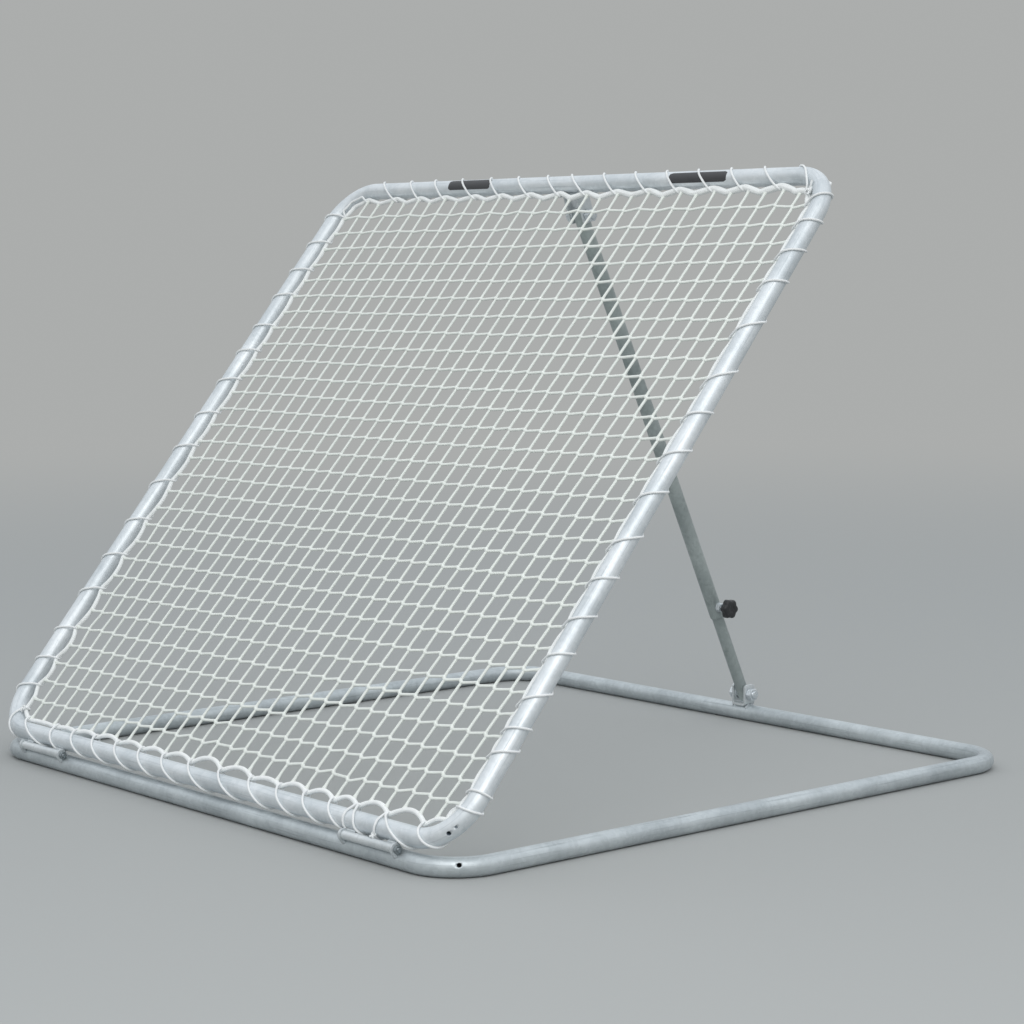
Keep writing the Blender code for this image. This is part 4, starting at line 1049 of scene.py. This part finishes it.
def knot(name, centre, size):
    """A small overhand knot with short cut ends, centred on a point of the net's plane."""
    turn = np.linspace(0.25, tau - 0.25, 70)
    x = np.sin(turn) + 2 * np.sin(2 * turn)
    y = np.cos(turn) - 2 * np.cos(2 * turn)
    z = -np.sin(3 * turn) * 1.1
    path = np.stack([x, y, z], 1) * size / 3
    spin = Matrix.Rotation(float(rng.uniform(0, 6)), 3, "Z")
    spin = spin @ Matrix.Rotation(float(rng.uniform(-0.5, 0.5)), 3, "X")
    path = path @ np.array(spin).T
    for end, before in ((0, 1), (-1, -2)):
        out = unit(path[end] - path[before])
        tail = path[end] + out * np.linspace(0.001, size * 0.9, 6)[:, None]
        path = np.concatenate([tail[::-1], path]) if end == 0 else np.concatenate([path, tail])
    path = path + np.array(centre)
    ahead = unit(np.gradient(path, axis=0))
    normal = [np.array(FLAT_UP)]
    for step in range(len(path)):
        kept = normal[-1] - ahead[step] * np.dot(ahead[step], normal[-1])
        normal.append(kept / np.linalg.norm(kept))
    lace(name, path, CORD_RADIUS * 0.95, 10, np.array(normal[1:])[None])


for side, word in enumerate(SIDES):
    path, normals = lacing_path(side)
    lace(f"lacing_cord_{word}", path, CORD_RADIUS, 12, normals[None], f"lacing_{word}")


def half_turn(name, side, start, way, last):
    """A second cord from a catch, over the front of the rail and tucked in behind it."""
    share = np.linspace(0.0, last, 36)
    s = start + np.interp(share, ROUND, way)
    insets = np.full(36, float(rope_inset(side, start)))
    path, normals = belts(side, s, share, insets)
    lace(name, path, CORD_RADIUS, 12, unit(normals)[None])


def tail(name, points):
    """A short cut end of cord."""
    points = np.array(points, float)
    last = len(points) - 1
    fine = np.linspace(0, last, 24)
    path = resample(fine, range(len(points)), points)
    for _ in range(6):
        path[1:-1] = (path[:-2] + 2 * path[1:-1] + path[2:]) / 4
    radius = CORD_RADIUS * np.interp(fine, (0, last - 0.3, last), (1.0, 1.0, 1.25))
    lace(name, path, radius[None], 12, (1.0, 0.3, 0.2))


TO_TAB = (0.0, 0.013, 0.031, 0.037, 0.044, 0.051, 0.055, 0.058, 0.058)
UP_RAIL = (0.0, 0.003, 0.007, 0.006, 0.004, 0.002, 0.002, 0.002, 0.002)
half_turn("lacing_end_hinge_a", 0, 0.459, TO_TAB, 0.66)
half_turn("lacing_end_hinge_b", 0, 0.545, UP_RAIL, 0.62)
TAIL_UP = ((0.698, 0.670, 0.011), (0.700, 0.674, 0.0165), (0.701, 0.678, 0.0190), (0.702, 0.682, 0.0205))
TAIL_DOWN = ((0.696, 0.669, 0.009), (0.6975, 0.663, 0.0105), (0.6985, 0.656, 0.0105))
tail("lacing_tail_up", TAIL_UP)
tail("lacing_tail_down", TAIL_DOWN)
knot("knot_top_right", (0.698, 0.669, 0.011), 0.0068)
knot("knot_bend_right", (0.7162, 0.6935, -0.007), 0.0045)
knot("knot_bottom_left", (-0.689, -0.669, 0.008), 0.0065)
knot("knot_hinge", (0.548, -HALF_HEIGHT - 0.0205, 0.0086), 0.0052)


# ---- plain labels

LABEL_STEPS = (24, 20)
LABEL_CORNER = 0.003


def label(name, x_low, x_high, start, end):
    """A plain dark strip stuck round part of the top rail, between two angles in degrees."""
    radius = TUBE_RADIUS + 0.00025
    start, end = radians(start), radians(end)
    steps_x, steps_t = LABEL_STEPS
    points, faces = [], []
    for skin in (radius, TUBE_RADIUS - 0.0004):
        for x in np.linspace(x_low, x_high, steps_x):
            off = min(x - x_low, x_high - x)
            trim = 0.0
            if off < LABEL_CORNER:
                rise = sqrt(max(LABEL_CORNER**2 - (LABEL_CORNER - off) ** 2, 0.0))
                trim = (LABEL_CORNER - rise) / radius
            for t in np.linspace(start + trim, end - trim, steps_t):
                points.append((x, skin * cos(t), skin * sin(t)))
    count = steps_x * steps_t
    for i in range(steps_x - 1):
        for k in range(steps_t - 1):
            a = i * steps_t + k
            quad = (a, a + 1, a + steps_t + 1, a + steps_t)
            faces += [quad[::-1], tuple(count + q for q in quad)]
    rim = [i * steps_t for i in range(steps_x)]
    rim += [(steps_x - 1) * steps_t + k for k in range(1, steps_t)]
    rim += [i * steps_t + steps_t - 1 for i in range(steps_x - 2, -1, -1)]
    rim += range(steps_t - 2, 0, -1)
    for a, b in zip(rim, rim[1:] + rim[:1]):
        faces.append((a, b, count + b, count + a))
    place = NET_PLANE @ Matrix.Translation((0.0, HALF_HEIGHT, 0.0))
    own(add(name, mesh_of(name, points, faces, 40), LABEL_DARK, place), "net_frame", "frame_tube")


label("plain_label_left", -0.370, -0.233, 62, 140)
label("plain_label_right", 0.308, 0.464, 76, 148)


# ---- stage

FLOOR = (0.40, 0.41, 0.405)
BACKDROP = (0.41, 0.42, 0.415)
SKY = (0.88, 0.92, 0.96)
FLOOR_REACH = 60.0


# The photograph's viewpoint, fitted to the corners of both frames: turn, height and roll in radians
CAMERA_TURN = (0.8709, 0.1004, -0.0065)
CAMERA_PLACE = (3.93514, -3.25400, 1.01730)
CAMERA_LENS = 90.56


def bare_tree(made):
    made.use_nodes = True
    made.node_tree.nodes.clear()
    return made.node_tree


def make_floor():
    """A floor that keeps the shadow and, seen from afar, fades to the backdrop."""
    made = bpy.data.materials.new("floor")
    tree = bare_tree(made)
    plain = node(tree, "ShaderNodeBsdfDiffuse", {"Color": FLOOR}).outputs[0]
    far = node(tree, "ShaderNodeEmission", {"Color": BACKDROP, "Strength": 1.0}).outputs[0]
    place = node(tree, "ShaderNodeNewGeometry").outputs["Position"]
    length = node(tree, "ShaderNodeVectorMath", {0: place}, operation="LENGTH").outputs["Value"]
    fade = remap(tree, length, 2.2, 9.0, interpolation_type="SMOOTHSTEP")
    rays = node(tree, "ShaderNodeLightPath").outputs
    seen = combine(tree, "ADD", rays["Is Camera Ray"], rays["Is Glossy Ray"])
    seen = combine(tree, "ADD", seen, rays["Is Transmission Ray"])
    amount = combine(tree, "MULTIPLY", fade, combine(tree, "MINIMUM", seen, 1.0))
    both = node(tree, "ShaderNodeMixShader", {0: amount, 1: plain, 2: far}).outputs[0]
    node(tree, "ShaderNodeOutputMaterial", {"Surface": both})
    turns = ((-1, -1), (1, -1), (1, 1), (-1, 1))
    corners = [(x * FLOOR_REACH, y * FLOOR_REACH, 0) for x, y in turns]
    add("floor", mesh_of("floor", corners, [(0, 1, 2, 3)]), made)


def make_world():
    """Soft light from above that meets the backdrop's colour at the horizon."""
    world = bpy.data.worlds.new("studio")
    bpy.context.scene.world = world
    tree = bare_tree(world)
    aim = node(tree, "ShaderNodeTexCoord").outputs["Generated"]
    height = node(tree, "ShaderNodeSeparateXYZ", {"Vector": aim}).outputs["Z"]
    share = remap(tree, height, 0.08, 0.55, interpolation_type="SMOOTHSTEP")
    colour = mix(tree, share, BACKDROP, SKY)
    light = node(tree, "ShaderNodeBackground", {"Color": colour, "Strength": 1.0}).outputs[0]
    node(tree, "ShaderNodeOutputWorld", {"Surface": light})


def lamp(name, place, aim, size, power, colour):
    data = bpy.data.lights.new(name, "AREA")
    data.shape = "DISK"
    data.size = size
    data.energy = power
    data.color = colour
    made = put(name, data)
    made.location = place
    made.rotation_euler = (Vector(aim) - Vector(place)).to_track_quat("-Z", "Y").to_euler()


def make_camera():
    azimuth, elevation, roll = CAMERA_TURN
    level = cos(elevation)
    look = Vector((-sin(azimuth) * level, cos(azimuth) * level, -sin(elevation)))
    right = Vector((cos(azimuth), sin(azimuth), 0.0))
    up = right.cross(look)
    turned_right = cos(roll) * right + sin(roll) * up
    turned_up = cos(roll) * up - sin(roll) * right
    data = bpy.data.cameras.new("camera")
    data.lens = CAMERA_LENS
    data.sensor_width = 36.0
    data.clip_end = 200.0
    camera = put("camera", data)
    turn = Matrix((turned_right, turned_up, -look)).transposed().to_4x4()
    camera.matrix_world = Matrix.Translation(CAMERA_PLACE) @ turn
    bpy.context.scene.camera = camera


make_floor()
make_world()
lamp("key", (3.6, -2.8, 4.0), (0.0, 0.0, 0.4), 4.2, 104.0, (1.0, 0.99, 0.97))
make_camera()
bpy.context.scene.view_settings.view_transform = "Standard"
